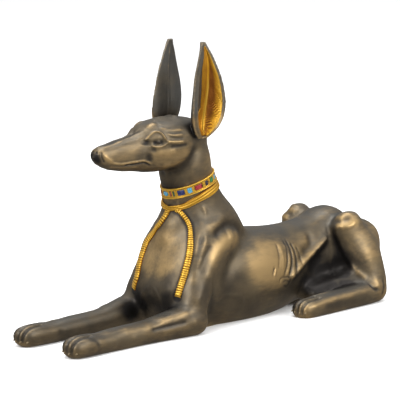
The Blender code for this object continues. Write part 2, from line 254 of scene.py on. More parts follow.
# Thickness of the cloth, how far a painted shadow reaches beside its ends, and the height where that stops
RING_THICKNESS = 1.3
END_THICKNESS = 1.35
SHADOW_BESIDE_SCARF = 3.3
SCARF_SHADOW_TOP = 84

# The collar lies on a tilted plane round an axis: height, rise to the back, lean to the left
COLLAR_HEIGHT = 96.4
COLLAR_RISE = 0.32
COLLAR_LEAN = 0.08
COLLAR_UP = Vector((-COLLAR_LEAN, -COLLAR_RISE, 1)).normalized()
NECK_AXIS = -1
# Length of a degree on the collar, steps round it and rows across its band
UNITS_IN_A_DEGREE = 0.37
COLLAR_STEPS = 480
BAND_ROWS = 33
# Heights in the collar as shares of the rails' height
BAR_HEIGHT = 0.8
POCKET_FLOOR = 0.4
ENAMEL_HEIGHT = 0.86
ENAMEL_RIM = 0.35
# Where a rail runs and its half width, as shares of half the collar's width, the beads on a rail, and
# where its outer edge begins, how broad that is and how far it is rounded down
RAIL_PLACE = 0.86
RAIL_HALF = 0.13
BEADS = 96
BEAD_LIFT = 0.06
RAIL_EDGE = 0.94
RAIL_EDGE_BREADTH = 0.06
RAIL_ROUNDED = 0.45
# How deep the foot of the collar and of the scarf is sunk into the skin
BAND_SUNK = 0.5
# Half the height of a cell, the share of its pocket that the enamel fills, and its thickness
CELL_HALF_HEIGHT = 1.85
CELL_FIT = 0.97
ENAMEL_THICKNESS = 0.3
# The first cell is a little to the right of the throat, by the turn below. From there to the nape,
# the same to both sides: angle, half width in degrees, colour, round
COLLAR_TURN = -9
COLLAR_CELLS = (
    (0, 9, "light_blue", True),
    (15.7, 2.0, "russet", False),
    (22.8, 1.7, "olive", False),
    (38.2, 7.4, "dark_blue", False),
    (55.8, 4.4, "light_blue", False),
    (75.2, 9.2, "red", False),
    (95.8, 4.2, "navy", False),
    (112.5, 6.6, "green", False),
    (128.5, 4.6, "light_blue", False),
    (144, 6.8, "dark_blue", False),
    (157.5, 2.4, "olive", False),
    (165, 2.4, "russet", False),
    (180, 7, "light_blue", True),
)

# Rows up the lining of an ear, columns round its cup, and the thickness of the leaf
LINING_ROWS = 250
LINING_COLUMNS = 70
LINING_THICKNESS = 0.35
# Where the gold begins behind the ear's front edge: height, share of the cup. Then its end as such a
# share, how far up the ear it reaches, the share of the cup where it is folded, how strongly the fur
# fans out and how far up the ear it runs level
LINING_START = ((128, 0.03), (138, 0.05), (141, 0.25), (147, 0.39), (158, 0.34), (170, 0.26), (179, 0.05))
LINING_END = 0.955
LINING_REACH = (0.02, 0.97)
FOLD_PLACE = 0.52
FUR_FAN = 0.9
FUR_LEVEL = 0.3

# Claws: y of a place before the toes, x of the four toes. Then height and radius of every claw, how
# deep its root is and how far it droops.
CLAWS = (
    (-150, (17.0, 21.2, 25.5, 29.8)),
    (50, (35.2, 39.4, 43.7, 47.6)),
)
CLAW_HEIGHT = 4.4
CLAW_RADIUS = 0.75
CLAW_ROOT = 1.2
CLAW_DROOP = 0.9

# The studio, in metres: the camera stands to the left of the figure's front
EYE = FIGURE_TO_ROOM @ EYE_PLACE
AIM = FIGURE_TO_ROOM @ AIM_PLACE
FLOOR_HALF = 6.0
# Softboxes: name, place, width, power in watts
LIGHTS = (
    ("key_softbox", (0.1, -1.5, 1.1), 0.9, 22),
    ("side_softbox", (1.5, 0.5, 0.9), 1.0, 16),
    ("top_softbox", (-0.1, 0.1, 1.4), 1.1, 14),
)
# The sky that the bronze mirrors, and the white one that lights matt surfaces
LOW_SKY = (0.42, 0.41, 0.4)
HIGH_SKY = (0.8, 0.82, 0.85)
MIRRORED_STRENGTH = 0.6
MATT_STRENGTH = 1.12

# Strokes of the modelling tool: height over the skin, reach to each side, tone, then the path as it
# shows in a closeup. All are made on both sides of the figure. A tone over 0 paints a highlight, with
# bronze rubbed bright; one under 0 paints shade, with dark wax in its grooves.
HEAD_STROKES = (
    # Brow and the two soft ridges over the temple
    (1.1, 2.8, 0.1, HEAD_CLOSEUP, ((650, 1075), (700, 1035), (760, 1015))),
    (0.6, 3, 0.15, HEAD_CLOSEUP, ((700, 1010), (780, 965), (880, 945), (960, 975))),
    (0.3, 1.1, 0.1, HEAD_CLOSEUP, ((775, 1057), (880, 1080), (1000, 1076))),
    (0.3, 1, 0.12, HEAD_CLOSEUP, ((850, 1112), (905, 1127), (1015, 1118))),
    (-0.22, 1, -0.2, HEAD_CLOSEUP, ((850, 1095), (920, 1105), (1010, 1098))),
    (-0.2, 1, -0.2, HEAD_CLOSEUP, ((870, 1152), (940, 1162), (1020, 1155))),
    # Upper lid, the painted line behind it and the lower lid
    (0.85, 0.65, 0.5, HEAD_CLOSEUP, (
        (640, 1186), (685, 1130), (735, 1096), (790, 1106), (825, 1145), (852, 1185),
    )),
    (0.75, 0.9, 0.5, HEAD_CLOSEUP, ((850, 1188), (920, 1196), (1020, 1190))),
    (0.5, 0.55, 0.35, HEAD_CLOSEUP, ((700, 1232), (760, 1248), (812, 1236), (850, 1213), (890, 1202))),
    (-0.9, 1.7, -0.9, HEAD_CLOSEUP, ((700, 1206), (770, 1200), (835, 1200))),
    (0.9, 1.1, -0.2, HEAD_CLOSEUP, ((745, 1200), (800, 1200))),
    # Hollow before the eye, cheekbone, mouth corner and jaw
    (-1.2, 3.2, -0.65, HEAD_CLOSEUP, ((655, 1160), (650, 1240))),
    (-0.4, 2, -0.45, HEAD_CLOSEUP, ((690, 1270), (760, 1275))),
    (-0.3, 1.3, -0.5, HEAD_CLOSEUP, ((880, 1245), (980, 1235), (1060, 1215))),
    (0.45, 2.4, 0.2, HEAD_CLOSEUP, ((740, 1310), (850, 1310), (960, 1280))),
    (-0.7, 2.4, -0.55, HEAD_CLOSEUP, ((690, 1290), (680, 1350), (710, 1400))),
    (0.4, 2.6, 0.25, HEAD_CLOSEUP, ((790, 1430), (900, 1420))),
    (-1.1, 3.2, -0.45, HEAD_CLOSEUP, ((830, 1510), (950, 1480), (1070, 1390), (1120, 1290), (1135, 1200))),
    # Muzzle: the edge of its flat top, the lips, the nose pad and nostril
    (0.35, 1.5, 0.05, HEAD_CLOSEUP, ((215, 1256), (350, 1208), (500, 1142), (620, 1092))),
    (-0.35, 1.5, -0.5, HEAD_CLOSEUP, ((230, 1232), (360, 1185), (500, 1120), (600, 1078))),
    (0.45, 0.8, 0.4, HEAD_CLOSEUP, ((305, 1402), (400, 1414), (540, 1393), (640, 1384), (700, 1412))),
    (-0.65, 0.5, -1.2, HEAD_CLOSEUP, ((430, 1428), (540, 1414), (640, 1401), (690, 1424))),
    (0.5, 1.5, 0.55, HEAD_CLOSEUP, ((235, 1325), (275, 1370), (320, 1402))),
    (0.25, 0.8, 0.3, HEAD_CLOSEUP, ((280, 1440), (420, 1446), (560, 1440))),
    (-0.2, 3.2, -1.2, HEAD_CLOSEUP, ((150, 1275), (155, 1350), (200, 1425))),
    (-0.9, 0.8, -1, HEAD_CLOSEUP, ((148, 1290), (168, 1303))),
    (-0.5, 0.7, -0.6, HEAD_CLOSEUP, ((205, 1290), (212, 1340), (240, 1400))),
)
TRUNK_STROKES = (
    # Neck cords and the front of the shoulder
    (0.5, 1.7, 0.15, CHEST_CLOSEUP, ((940, 330), (975, 400), (990, 480))),
    (0.6, 3.5, 0.15, CHEST_CLOSEUP, ((1250, 430), (1150, 560), (1000, 680))),
    (0.5, 2.1, 0.15, CHEST_CLOSEUP, ((990, 690), (985, 790), (960, 880))),
    (0.45, 1.9, 0.15, CHEST_CLOSEUP, ((910, 700), (880, 790), (860, 920), (840, 1020))),
    (-0.3, 2, -0.3, CHEST_CLOSEUP, ((935, 720), (915, 820), (890, 960), (870, 1060))),
    (-0.5, 3.2, -0.3, CHEST_CLOSEUP, ((800, 430), (860, 560), (900, 600))),
    # Shoulder blade and the long muscles of the upper arm
    (-0.9, 3, -0.4, CHEST_CLOSEUP, ((1100, 760), (1180, 640), (1270, 585), (1360, 590), (1450, 680))),
    (0.8, 5, 0.2, CHEST_CLOSEUP, ((1250, 720), (1350, 700))),
    (1, 4.2, 0.1, REAR_CLOSEUP, ((330, 330), (255, 400), (195, 500), (150, 600), (112, 700))),
    (0.6, 3.4, 0.05, REAR_CLOSEUP, ((112, 700), (70, 800), (45, 870))),
    (-0.7, 2.6, -0.35, CHEST_CLOSEUP, ((1090, 830), (1010, 960), (950, 1100), (890, 1250))),
    (0.5, 2.6, 0.15, CHEST_CLOSEUP, ((960, 1000), (880, 1160), (830, 1300), (800, 1400))),
    (-0.7, 5, -0.35, REAR_CLOSEUP, ((345, 430), (300, 550), (255, 650), (205, 750))),
    (-0.5, 2.4, -0.3, REAR_CLOSEUP, ((170, 760), (160, 880), (150, 950))),
    (0.3, 1.6, 0.2, REAR_CLOSEUP, ((210, 815), (240, 795), (320, 790), (385, 800), (395, 850))),
    # Ribs
    (-0.35, 1.1, -0.3, REAR_CLOSEUP, ((640, 400), (665, 480), (665, 590))),
    (-0.5, 1.1, -0.45, REAR_CLOSEUP, ((690, 370), (722, 440), (730, 530), (705, 640))),
    (-0.6, 1.1, -0.6, REAR_CLOSEUP, ((712, 372), (752, 450), (762, 545), (738, 645))),
    (-0.5, 1.1, -0.5, REAR_CLOSEUP, ((745, 390), (785, 470), (795, 560), (775, 650))),
    (-0.35, 1, -0.3, REAR_CLOSEUP, ((790, 420), (820, 490), (830, 560))),
    (0.3, 1.1, 0.2, REAR_CLOSEUP, ((700, 400), (738, 490), (745, 560), (722, 640))),
    (0.3, 1.1, 0.2, REAR_CLOSEUP, ((730, 390), (770, 490), (778, 560), (755, 645))),
    (0.3, 1.2, 0.2, REAR_CLOSEUP, ((660, 400), (692, 480), (695, 600))),
    (-0.7, 0.9, -0.8, REAR_CLOSEUP, ((632, 575), (622, 640))),
    (0.4, 0.8, 0.4, REAR_CLOSEUP, ((642, 585), (632, 650))),
    (-0.35, 0.5, -0.7, REAR_CLOSEUP, ((665, 700), (675, 665), (710, 650), (745, 662), (740, 690))),
    (-0.3, 0.5, -0.5, REAR_CLOSEUP, ((690, 690), (715, 675), (738, 690), (722, 715), (695, 712))),
    # Flank fold, the hollow behind it and the thigh
    (1.9, 2.8, 0.3, REAR_CLOSEUP, ((1040, 335), (950, 435), (862, 522), (782, 620), (735, 665))),
    (-2, 6, -0.5, REAR_CLOSEUP, ((1020, 450), (950, 540), (880, 630))),
    (-0.5, 5, -0.9, REAR_CLOSEUP, ((840, 680), (930, 690), (1030, 680))),
    (-0.3, 4.5, -1.1, REAR_CLOSEUP, ((890, 735), (960, 725), (1040, 715), (1130, 690))),
    (-0.3, 5, -1, REAR_CLOSEUP, ((930, 600), (1010, 610), (1100, 620), (1170, 640))),
    (0.6, 1.6, 0, REAR_CLOSEUP, ((1045, 350), (1055, 470), (1070, 640))),
    (-0.8, 4.5, -1, REAR_CLOSEUP, ((1110, 480), (1140, 600), (1200, 680))),
    (-0.5, 4, -1, REAR_CLOSEUP, ((1080, 690), (1180, 690), (1250, 680))),
    (-0.8, 3.6, -0.3, REAR_CLOSEUP, ((870, 300), (900, 400), (830, 480))),
    (0.8, 2.2, 0.35, REAR_CLOSEUP, ((1085, 300), (1125, 400), (1180, 520), (1260, 620), (1330, 670))),
    (0.5, 1.6, 0.35, REAR_CLOSEUP, ((1082, 250), (1140, 274), (1200, 266), (1245, 228))),
    (0.2, 1.5, 0.1, REAR_CLOSEUP, ((1085, 225), (1110, 185), (1170, 172), (1225, 190))),
    (-1.1, 3.2, -0.5, REAR_CLOSEUP, ((1070, 232), (1110, 226), (1150, 218))),
    (-1.1, 3.2, -0.5, REAR_CLOSEUP, ((1110, 226), (1150, 218), (1190, 214), (1222, 212))),
    (0.35, 5, 0.2, REAR_CLOSEUP, ((1290, 400), (1380, 560))),
    (0.3, 3, 0.15, REAR_CLOSEUP, ((880, 270), (980, 200), (1060, 160))),
)
LEG_STROKES = (
    # Hock and the tendons of the hind foot
    (0.4, 2, 0.1, REAR_CLOSEUP, ((1370, 650), (1405, 700), (1405, 740))),
    (-0.6, 1.2, -0.7, REAR_CLOSEUP, ((1330, 700), (1375, 735), (1410, 745))),
    (-0.5, 1.4, -0.5, REAR_CLOSEUP, ((1440, 655), (1450, 730), (1430, 790))),
    (0.4, 1, 0.4, REAR_CLOSEUP, ((880, 800), (1000, 770), (1100, 735), (1220, 705))),
    (-0.2, 1.8, -0.2, REAR_CLOSEUP, ((900, 835), (1010, 795), (1150, 750), (1260, 725))),
    (0.5, 2.2, 0.3, REAR_CLOSEUP, ((900, 880), (1010, 835), (1180, 785), (1330, 740))),
    (-0.3, 2.6, -0.3, REAR_CLOSEUP, ((1000, 880), (1150, 850), (1330, 810))),
    # Forearm: a short groove by the elbow with a muscle over it, and the wrist
    (-0.5, 1.4, -0.6, FORELEG_CLOSEUP, ((1080, 716), (1180, 692), (1335, 655))),
    (0.6, 2.6, 0.3, FORELEG_CLOSEUP, ((1120, 655), (1240, 620), (1360, 585))),
    (0.4, 3, 0.2, FORELEG_CLOSEUP, ((860, 720), (1000, 700), (1090, 680))),
    (0.4, 2.6, 0.2, FORELEG_CLOSEUP, ((1150, 740), (1300, 700), (1420, 650))),
    (0.4, 2.2, 0.2, FORELEG_CLOSEUP, ((640, 745), (780, 725))),
    (-0.4, 1.8, -0.3, FORELEG_CLOSEUP, ((620, 770), (700, 800), (710, 850))),
    (0.3, 2.4, 0.2, FORELEG_CLOSEUP, ((540, 860), (640, 850))),
    (-0.4, 2.4, -0.3, FORELEG_CLOSEUP, ((430, 700), (440, 760))),
    (0.3, 1.2, 0.3, FORELEG_CLOSEUP, ((1090, 405), (1130, 480), (1170, 560))),
)
# Clefts of a fore and a hind paw: height over the skin, x of the three clefts between the four toes,
# then y and z along a cleft
TOE_CLEFTS = (
    (-1.2, (18.9, 23.3, 27.8), ((-114, 15), (-124, 14), (-130.5, 10.5), (-134, 6), (-135.5, 2))),
    (-1.1, (37.1, 41.5, 45.9), ((80, 13.5), (70, 12.5), (63, 9.5), (60, 6), (59, 2))),
)
CLEFT_REACH = 0.9
CLEFT_TONE = -0.8
# Roughness of every cloud, wisp and grain in the finishes
SPECKLE_ROUGHNESS = 0.55
# Distance between the points of a path when it is laid on the skin
STROKE_STRIDE = 1.5
PATCH_STRIDE = 3.0
SCARF_STRIDE = 2.0

# Places rubbed bright and painted as highlight: strength, reach, then the path. The finisher's cloth took
# the dark wax off here, and a highlight is painted on the sides that face the light.
RUBBED_AND_HIGHLIGHTED = (
    (1.0, 13, ((25, 40, 35), (26, 50, 34), (25, 61, 32))),
    (0.7, 9, ((24, 46, 46), (22, 62, 44))),
    (0.75, 6, ((26.5, 10, 58), (28.5, 0, 55), (29.5, -6, 50))),
    (0.5, 7, ((26, 14, 60), (24, 20, 56))),
    (0.6, 9, ((5, -34, 60), (7, -39, 52), (8, -41, 44))),
    (0.35, 9, ((31, 134, 44), (35, 142, 32))),
    (0.35, 8, ((27, 148, 46), (31, 153, 34))),
    (0.6, 4, ((24, 124, 56), (29, 130, 55))),
    (0.4, 5, ((5.5, -80, 119), (7, -70, 119), (8.5, -62, 121))),
    (0.5, 6, ((12, -42, 119), (15.5, -32, 117), (16, -22, 119))),
    (0.4, 5, ((12, -30, 112), (14, -22, 113))),
    (0.3, 6, ((15, 2, 112), (15.5, -2, 104))),
    (0.3, 6, ((46, 134, 14), (45, 142, 10))),
    (0.4, 8, ((24, 84, 42), (20, 96, 44))),
    (0.4, 6, ((22, 98, 38), (23, 86, 32))),
)
# Painted shade, written the same way: the low chest, the hollow of the flank, the belly, the floor between
# the forelegs, the paws and behind the upper arm
SHADED_PLACES = (
    (1.3, 9, ((0, -42, 20), (12, -40, 16), (14, -38, 24))),
    (0.9, 7, ((14, -36, 34), (10, -40, 27), (0, -43, 28))),
    (0.6, 9, ((18, 20, 30), (22, 12, 26), (22, 30, 14))),
    (0.6, 9, ((22, 96, 18), (24, 110, 20), (26, 120, 28))),
    (0.5, 8, ((0, -62, 4), (14, -80, 4), (14, -100, 4))),
    (0.5, 6, ((16, -130, 9), (23, -132, 9), (30, -130, 9))),
    (0.4, 7, ((18, -118, 13), (26, -118, 13))),
    (0.5, 5, ((31, -18, 33), (33, -22, 26))),
)


# Curves and paths


def eased(value, low, high):
    """0 below low, 1 above high, smooth between."""
    share = np.clip((value - low) / (high - low), 0, 1)
    return share * share * (3 - 2 * share)


def read_along(stations, count, place_columns=3):
    """Rows at even steps along the smooth curve that passes through every station."""
    rows = np.array(stations, float)
    strides = np.linalg.norm(np.diff(rows[:, :place_columns], axis=0), axis=1)
    reach = np.concatenate([[0.0], np.cumsum(strides)])
    slope = np.gradient(rows, reach, axis=0)
    places = np.linspace(0.0, reach[-1], count)
    first = np.clip(np.searchsorted(reach, places, side="right") - 1, 0, len(rows) - 2)
    gap = (reach[first + 1] - reach[first])[:, None]
    t = (places - reach[first])[:, None] / gap
    start = (1 + 2 * t) * (1 - t) ** 2 * rows[first] + t * (1 - t) ** 2 * gap * slope[first]
    end = t**2 * (3 - 2 * t) * rows[first + 1] + t**2 * (t - 1) * gap * slope[first + 1]
    return start + end


def rounded_ends(rows, steps=5):
    """The rows with a rounded cap added at both ends, as long as the end section is deep."""
    caps = []
    for end, inner in ((rows[0], rows[1]), (rows[-1], rows[-2])):
        outward = end[:3] - inner[:3]
        outward /= np.linalg.norm(outward)
        cap = []
        for turn in np.linspace(0, math.pi / 2, steps + 1)[1:-1]:
            row = end.copy()
            row[:3] += outward * min(end[3], end[4]) * math.sin(turn)
            row[3:] *= math.cos(turn)
            cap.append(row)
        caps.append(cap)
    return np.array(caps[0][::-1] + list(rows) + caps[1])


def step_along(path, stride):
    """The path as points no further apart than the stride."""
    corners = np.array(path, float)
    points = [corners[0]]
    for start, end in zip(corners, corners[1:]):
        count = max(int(math.ceil(np.linalg.norm(end - start) / stride)), 1)
        points += [start + (end - start) * i / count for i in range(1, count + 1)]
    return np.array(points)


def rounded_path(path, stride):
    """A path through the same points with its corners rounded."""
    if len(path) < 3:
        return step_along(path, stride)
    length = np.linalg.norm(np.diff(np.array(path, float), axis=0), axis=1).sum()
    return read_along(path, max(int(length / stride), 3) + 1)


def along_path(places, points):
    """Distance of each place from the path, and how far along the path it lies, from 0 to 1."""
    nearest, travelled = np.full(len(places), np.inf), np.zeros(len(places))
    count = len(points) - 1
    for number, (start, end) in enumerate(zip(points, points[1:])):
        along = end - start
        share = np.clip((places - start) @ along / max(along @ along, 1e-9), 0, 1)
        offset = np.linalg.norm(places - start - share[:, None] * along, axis=1)
        closer = offset < nearest
        nearest[closer] = offset[closer]
        travelled[closer] = (number + share[closer]) / count
    return nearest, travelled


# Forms of the casting


def skin_rings(shape, rings, closed=True, capped=True):
    """Faces between neighbouring rings of vertices, and over the first and last ring if capped."""
    count = len(rings[0])
    faces = [shape.faces.new(rings[0]), shape.faces.new(rings[-1])] if capped else []
    for low, high in zip(rings, rings[1:]):
        for i in range(count if closed else count - 1):
            j = (i + 1) % count
            faces.append(shape.faces.new((low[i], low[j], high[j], high[i])))
    bmesh.ops.recalc_face_normals(shape, faces=faces)


def add_limb(shape, stations, side_sign, squareness=2.0, level=False, count=44, sides=44):
    """Adds a closed tube with rounded-square sections read along the stations."""
    rows = rounded_ends(read_along(stations, count))
    tangents = np.gradient(rows[:, :3], axis=0)
    across = Vector((side_sign, 1, 1))
    rings = []
    for row, tangent in zip(rows, tangents):
        along = Vector((0, 0, 1)) if level else Vector(tangent).normalized()
        side = (Vector((1, 0, 0)) - along * along.x).normalized()
        rise = side.cross(along)
        ring = []
        for step in range(sides):
            turn = math.tau * step / sides
            c, s = math.cos(turn), math.sin(turn)
            wide = math.copysign(abs(c) ** (2 / squareness), c) * row[3]
            deep = math.copysign(abs(s) ** (2 / squareness), s) * row[4]
            point = Vector(row[:3]) + side * wide + rise * deep
            ring.append(shape.verts.new(point * across))
        rings.append(ring)
    skin_rings(shape, rings)


def ear_point(row, turn, proud):
    """A point of the ear's cup: turn 0 is the front edge, pi the back one. Proud is off the lining."""
    height, rim, front, back, depth = row
    middle, half = (front + back) / 2, (back - front) / 2 - 0.5 * EAR_WALL
    y = middle - (half - proud) * math.cos(turn)
    if proud > -EAR_WALL:
        y += min(EAR_FRONT_RIM, 0.6 * max(half, 0)) * (1 + math.cos(turn)) / 2
    turned_out = EAR_TURNED_OUT * min(max(half, 0) / EAR_BROAD_HALF, 1)
    cup = max(depth - EAR_WALL, 0.4) - proud
    return Vector((rim - turned_out * math.cos(turn) - cup * math.sin(turn) ** EAR_CUP_CURVE, y, height))


def add_ear(shape, side_sign, count=60, sides=24):
    """Adds one ear, a pointed leaf whose hollow face is turned to the side."""
    across = Vector((side_sign, 1, 1))
    turns = [math.pi * step / sides for step in range(sides + 1)]
    rings = []
    for row in read_along(EAR, count, 1):
        ring = [shape.verts.new(ear_point(row, turn, -EAR_WALL) * across) for turn in turns]
        ring += [shape.verts.new(ear_point(row, turn, 0) * across) for turn in reversed(turns)]
        rings.append(ring)
    skin_rings(shape, rings)


# Meshes and what is read off them


def new_object(name, mesh):
    thing = bpy.data.objects.new(name, mesh)
    bpy.context.scene.collection.objects.link(thing)
    return thing


def copy_of(thing, name):
    return new_object(name, thing.data.copy())


def drop(thing):
    mesh = thing.data
    bpy.data.objects.remove(thing, do_unlink=True)
    bpy.data.meshes.remove(mesh)


def mesh_of(shape, name):
    """A mesh of the shape, which is let go."""
    mesh = bpy.data.meshes.new(name)
    shape.to_mesh(mesh)
    shape.free()
    return mesh


def set_share(mesh, name, values):
    layer = mesh.attributes.new(name, "FLOAT", "POINT")
    layer.data.foreach_set("value", np.asarray(values, np.float32).ravel())


def apply_modifiers(thing):
    graph = bpy.context.evaluated_depsgraph_get()
    old = thing.data
    thing.data = bpy.data.meshes.new_from_object(thing.evaluated_get(graph))
    thing.modifiers.clear()
    bpy.data.meshes.remove(old)


def fuse(thing, voxel):
    """Turns overlapping forms into one closed skin of even small faces."""
    remesh = thing.modifiers.new("fuse", "REMESH")
    remesh.mode = "VOXEL"
    remesh.voxel_size = voxel
    apply_modifiers(thing)


def refine(thing, levels):
    divide = thing.modifiers.new("refine", "SUBSURF")
    divide.levels = levels
    divide.render_levels = levels
    apply_modifiers(thing)


def thin_out(thing, triangles):
    thing.data.calc_loop_triangles()
    count = len(thing.data.loop_triangles)
    if count > triangles:
        decimate = thing.modifiers.new("thin_out", "DECIMATE")
        decimate.ratio = triangles / count
        apply_modifiers(thing)


def thicken(thing, thickness):
    """Gives a sheet a back, so that it is closed."""
    back = thing.modifiers.new("back", "SOLIDIFY")
    back.thickness = thickness
    back.offset = -1.0
    apply_modifiers(thing)


def cut(mesh, place, keep_side):
    """Cuts the mesh with a plane, keeps the side that keep_side points to and closes the cut."""
    shape = bmesh.new()
    shape.from_mesh(mesh)
    bmesh.ops.bisect_plane(
        shape,
        geom=shape.verts[:] + shape.edges[:] + shape.faces[:],
        dist=1e-5,
        plane_co=place,
        plane_no=keep_side,
        clear_inner=True,
    )
    rim = [edge for edge in shape.edges if edge.is_boundary]
    caps = bmesh.ops.holes_fill(shape, edges=rim)["faces"]
    bmesh.ops.triangulate(shape, faces=caps)
    bmesh.ops.recalc_face_normals(shape, faces=shape.faces[:])
    shape.to_mesh(mesh)
    shape.free()


def vertex_rows(mesh, field):
    """A row for each vertex: its place, where the field is co, or its normal."""
    flat = np.empty(len(mesh.vertices) * 3, np.float32)
    mesh.vertices.foreach_get(field, flat)
    return flat.reshape(-1, 3).astype(float)


def move_vertices(mesh, places):
    mesh.vertices.foreach_set("co", places.astype(np.float32).ravel())
    mesh.update()


def edge_ends(mesh):
    ends = np.empty(len(mesh.edges) * 2, np.int32)
    mesh.edges.foreach_get("vertices", ends)
    return ends.reshape(-1, 2).T


def averaged(values, ends):
    """Each vertex's value replaced by the mean of its neighbours'."""
    a, b = ends
    columns = values.reshape(len(values), -1)
    count = np.bincount(np.concatenate([a, b]), minlength=len(values))
    total = np.empty_like(columns)
    for i in range(columns.shape[1]):
        total[:, i] = np.bincount(a, columns[b, i], len(values))
        total[:, i] += np.bincount(b, columns[a, i], len(values))
    return (total / np.maximum(count, 1)[:, None]).reshape(values.shape)


def smooth(mesh, rounds):
    """Evens out the joins between the forms, without shrinking them."""
    places, ends = vertex_rows(mesh, "co"), edge_ends(mesh)
    for pull in (0.5, -0.52) * rounds:
        places += pull * (averaged(places, ends) - places)
    move_vertices(mesh, places)


def skin_tree(mesh):
    return BVHTree.FromPolygons(
        [vertex.co.copy() for vertex in mesh.vertices],
        [face.vertices[:] for face in mesh.polygons],
    )


def laid_on(tree, points):
    return np.array([tree.find_nearest(Vector(point))[0] for point in points])


def seen_place(tree, closeup, spot):
    """The place on the skin that shows at a spot of a closeup."""
    left, top, enlargement = closeup
    film = PHOTOGRAPH_WIDTH * LENS / SENSOR
    across = (left + spot[0] / enlargement - PHOTOGRAPH_WIDTH / 2) / film
    down = (top + spot[1] / enlargement - PHOTOGRAPH_WIDTH / 2) / film
    forward = (AIM_PLACE - EYE_PLACE).normalized()
    right = forward.cross(Vector((0, 0, 1))).normalized()
    hit = tree.ray_cast(EYE_PLACE, forward + right * across + right.cross(forward) * -down)[0]
    if hit is None:
        raise RuntimeError(f"nothing shows at {spot} of the closeup {closeup}")
    return tuple(hit)


def seen_strokes(tree, rows):
    """The strokes with their paths brought from the closeups to the skin."""
    placed = []
    for lift, reach, tone, closeup, spots in rows:
        placed.append((lift, reach, tone, [seen_place(tree, closeup, spot) for spot in spots]))
    return placed


# Strokes, wear and wax


def stroke_effect(places, tree, rows):
    """What the strokes make of each place: its height, its share of painted highlight and wiped bronze,
    and its share of painted shade and dark wax.
    """
    height, bright, dark = np.zeros((3, len(places)))
    for lift, reach, tone, path in rows:
        toned = bright if tone > 0 else dark
        for side in SIDES:
            points = laid_on(tree, rounded_path(np.array(path, float) * (side, 1, 1), STROKE_STRIDE))
            low, high = points.min(axis=0) - 3 * reach, points.max(axis=0) + 3 * reach
            near = np.flatnonzero(((places > low) & (places < high)).all(axis=1))
            offset, travelled = along_path(places[near], points)
            length = np.linalg.norm(np.diff(points, axis=0), axis=1).sum()
            fade = min(max(1.6 * reach / length, 0.08), 0.4)
            share = np.exp(-((offset / reach) ** 2))
            share *= 0.25 + 0.75 * eased(np.minimum(travelled, 1 - travelled), 0.0, fade)
            height[near] += lift * share
            toned[near] = np.maximum(toned[near], abs(tone) * share)
    return height, bright, dark


def toe_clefts():
    """The strokes between the toes of one fore and one hind paw."""
    clefts = []
    for lift, columns, path in TOE_CLEFTS:
        for x in columns:
            clefts.append((lift, CLEFT_REACH, CLEFT_TONE, [(x, y, z) for y, z in path]))
    return clefts


def ear_seam():
    """The stroke that runs up the back of an ear."""
    rows = read_along(EAR, 24, 1)[3:-2]
    return (*EAR_SEAM, [tuple(ear_point(row, EAR_SEAM_TURN, -EAR_WALL)) for row in rows])


def convexity(places, normals, ends, rounds):
    """How much the skin bulges at each vertex, in turns of the normal over a unit of length."""
    a, b = ends
    step = places[b] - places[a]
    length = np.maximum((step**2).sum(axis=1), 1e-6)
    bulge = ((normals[b] - normals[a]) * step).sum(axis=1) / length
    total = np.bincount(a, bulge, len(places)) + np.bincount(b, bulge, len(places))
    count = np.bincount(a, minlength=len(places)) + np.bincount(b, minlength=len(places))
    value = total / np.maximum(count, 1)
    for _ in range(rounds):
        value = averaged(value, ends)
    return value


def closed_in(places, normals, ends, occluder, every=5, rays=20, far=70.0, off_skin=1.8):
    """Share of the sky that the figure itself hides from each vertex."""
    random = np.random.default_rng(SEED)
    known, hidden = np.zeros((2, len(places)))
    spread = random.normal(size=(rays, 3))
    spread /= np.linalg.norm(spread, axis=1)[:, None]
    for i in range(0, len(places), every):
        start = Vector(places[i] + off_skin * normals[i])
        hits = 0
        for way in spread:
            if occluder.ray_cast(start, Vector(normals[i] * 1.02 + way), far)[0] is not None:
                hits += 1
        known[i] = 1.0
        hidden[i] = hits / rays
    for _ in range(14):
        known = 0.5 * known + 0.5 * averaged(known, ends)
        hidden = 0.5 * hidden + 0.5 * averaged(hidden, ends)
    return hidden / np.maximum(known, 1e-6)


def patch_shares(places, tree, rows):
    """How strongly each place lies in one of the rows' places, on either side."""
    share = np.zeros(len(places))
    for strength, reach, path in rows:
        for side in SIDES:
            points = laid_on(tree, rounded_path(np.array(path, float) * (side, 1, 1), PATCH_STRIDE))
            offset = along_path(places, points)[0] / reach
            share = np.maximum(share, strength * np.exp(-(offset**2)))
    return share


def scarf_end_path(tree, side):
    """The middle of a loose end of the scarf, on the skin."""
    return [seen_place(tree, WHOLE_PHOTOGRAPH, spot) for spot in SCARF_ENDS[side]]


def beside_scarf(places, tree):
    """Painted shadow along both edges of the loose ends of the scarf."""
    share = np.zeros(len(places))
    for side in SCARF_ENDS:
        points = laid_on(tree, rounded_path(scarf_end_path(tree, side), SCARF_STRIDE))
        share = np.maximum(share, np.exp(-((along_path(places, points)[0] / SHADOW_BESIDE_SCARF) ** 6)))
    return share * (places[:, 2] < SCARF_SHADOW_TOP)


def wax_and_light_shares(up, rubbed_and_highlighted, darkened, bright, dark, fine, broad, hidden, dark_line):
    """How far each place is worn bright and painted as highlight, and how much dark wax and painted shade
    lie on it.
    """
    # Painted shade: places that the figure hides from the sky, and faces that turn up, lose bright bronze,
    # and hidden places darken; fine ridges are rubbed and fine grooves hold dark wax
    rub = rubbed_and_highlighted + 0.6 * bright + np.clip(1.2 * fine, -0.3, 0.35) + np.clip(1.5 * broad, -0.1, 0.2)
    rub -= 0.8 * np.clip(hidden - 0.15, 0, 1) + 0.5 * dark + 0.3 * np.clip(up - 0.6, 0, 1)
    hollow = 0.8 * dark + np.clip(-1.4 * fine, 0, 0.45) + 1.35 * np.clip(hidden - 0.25, 0, 1)
    return rub - 0.6 * darkened, hollow + 0.75 * dark_line + 0.55 * darkened


# Sizes and colours that a user may change


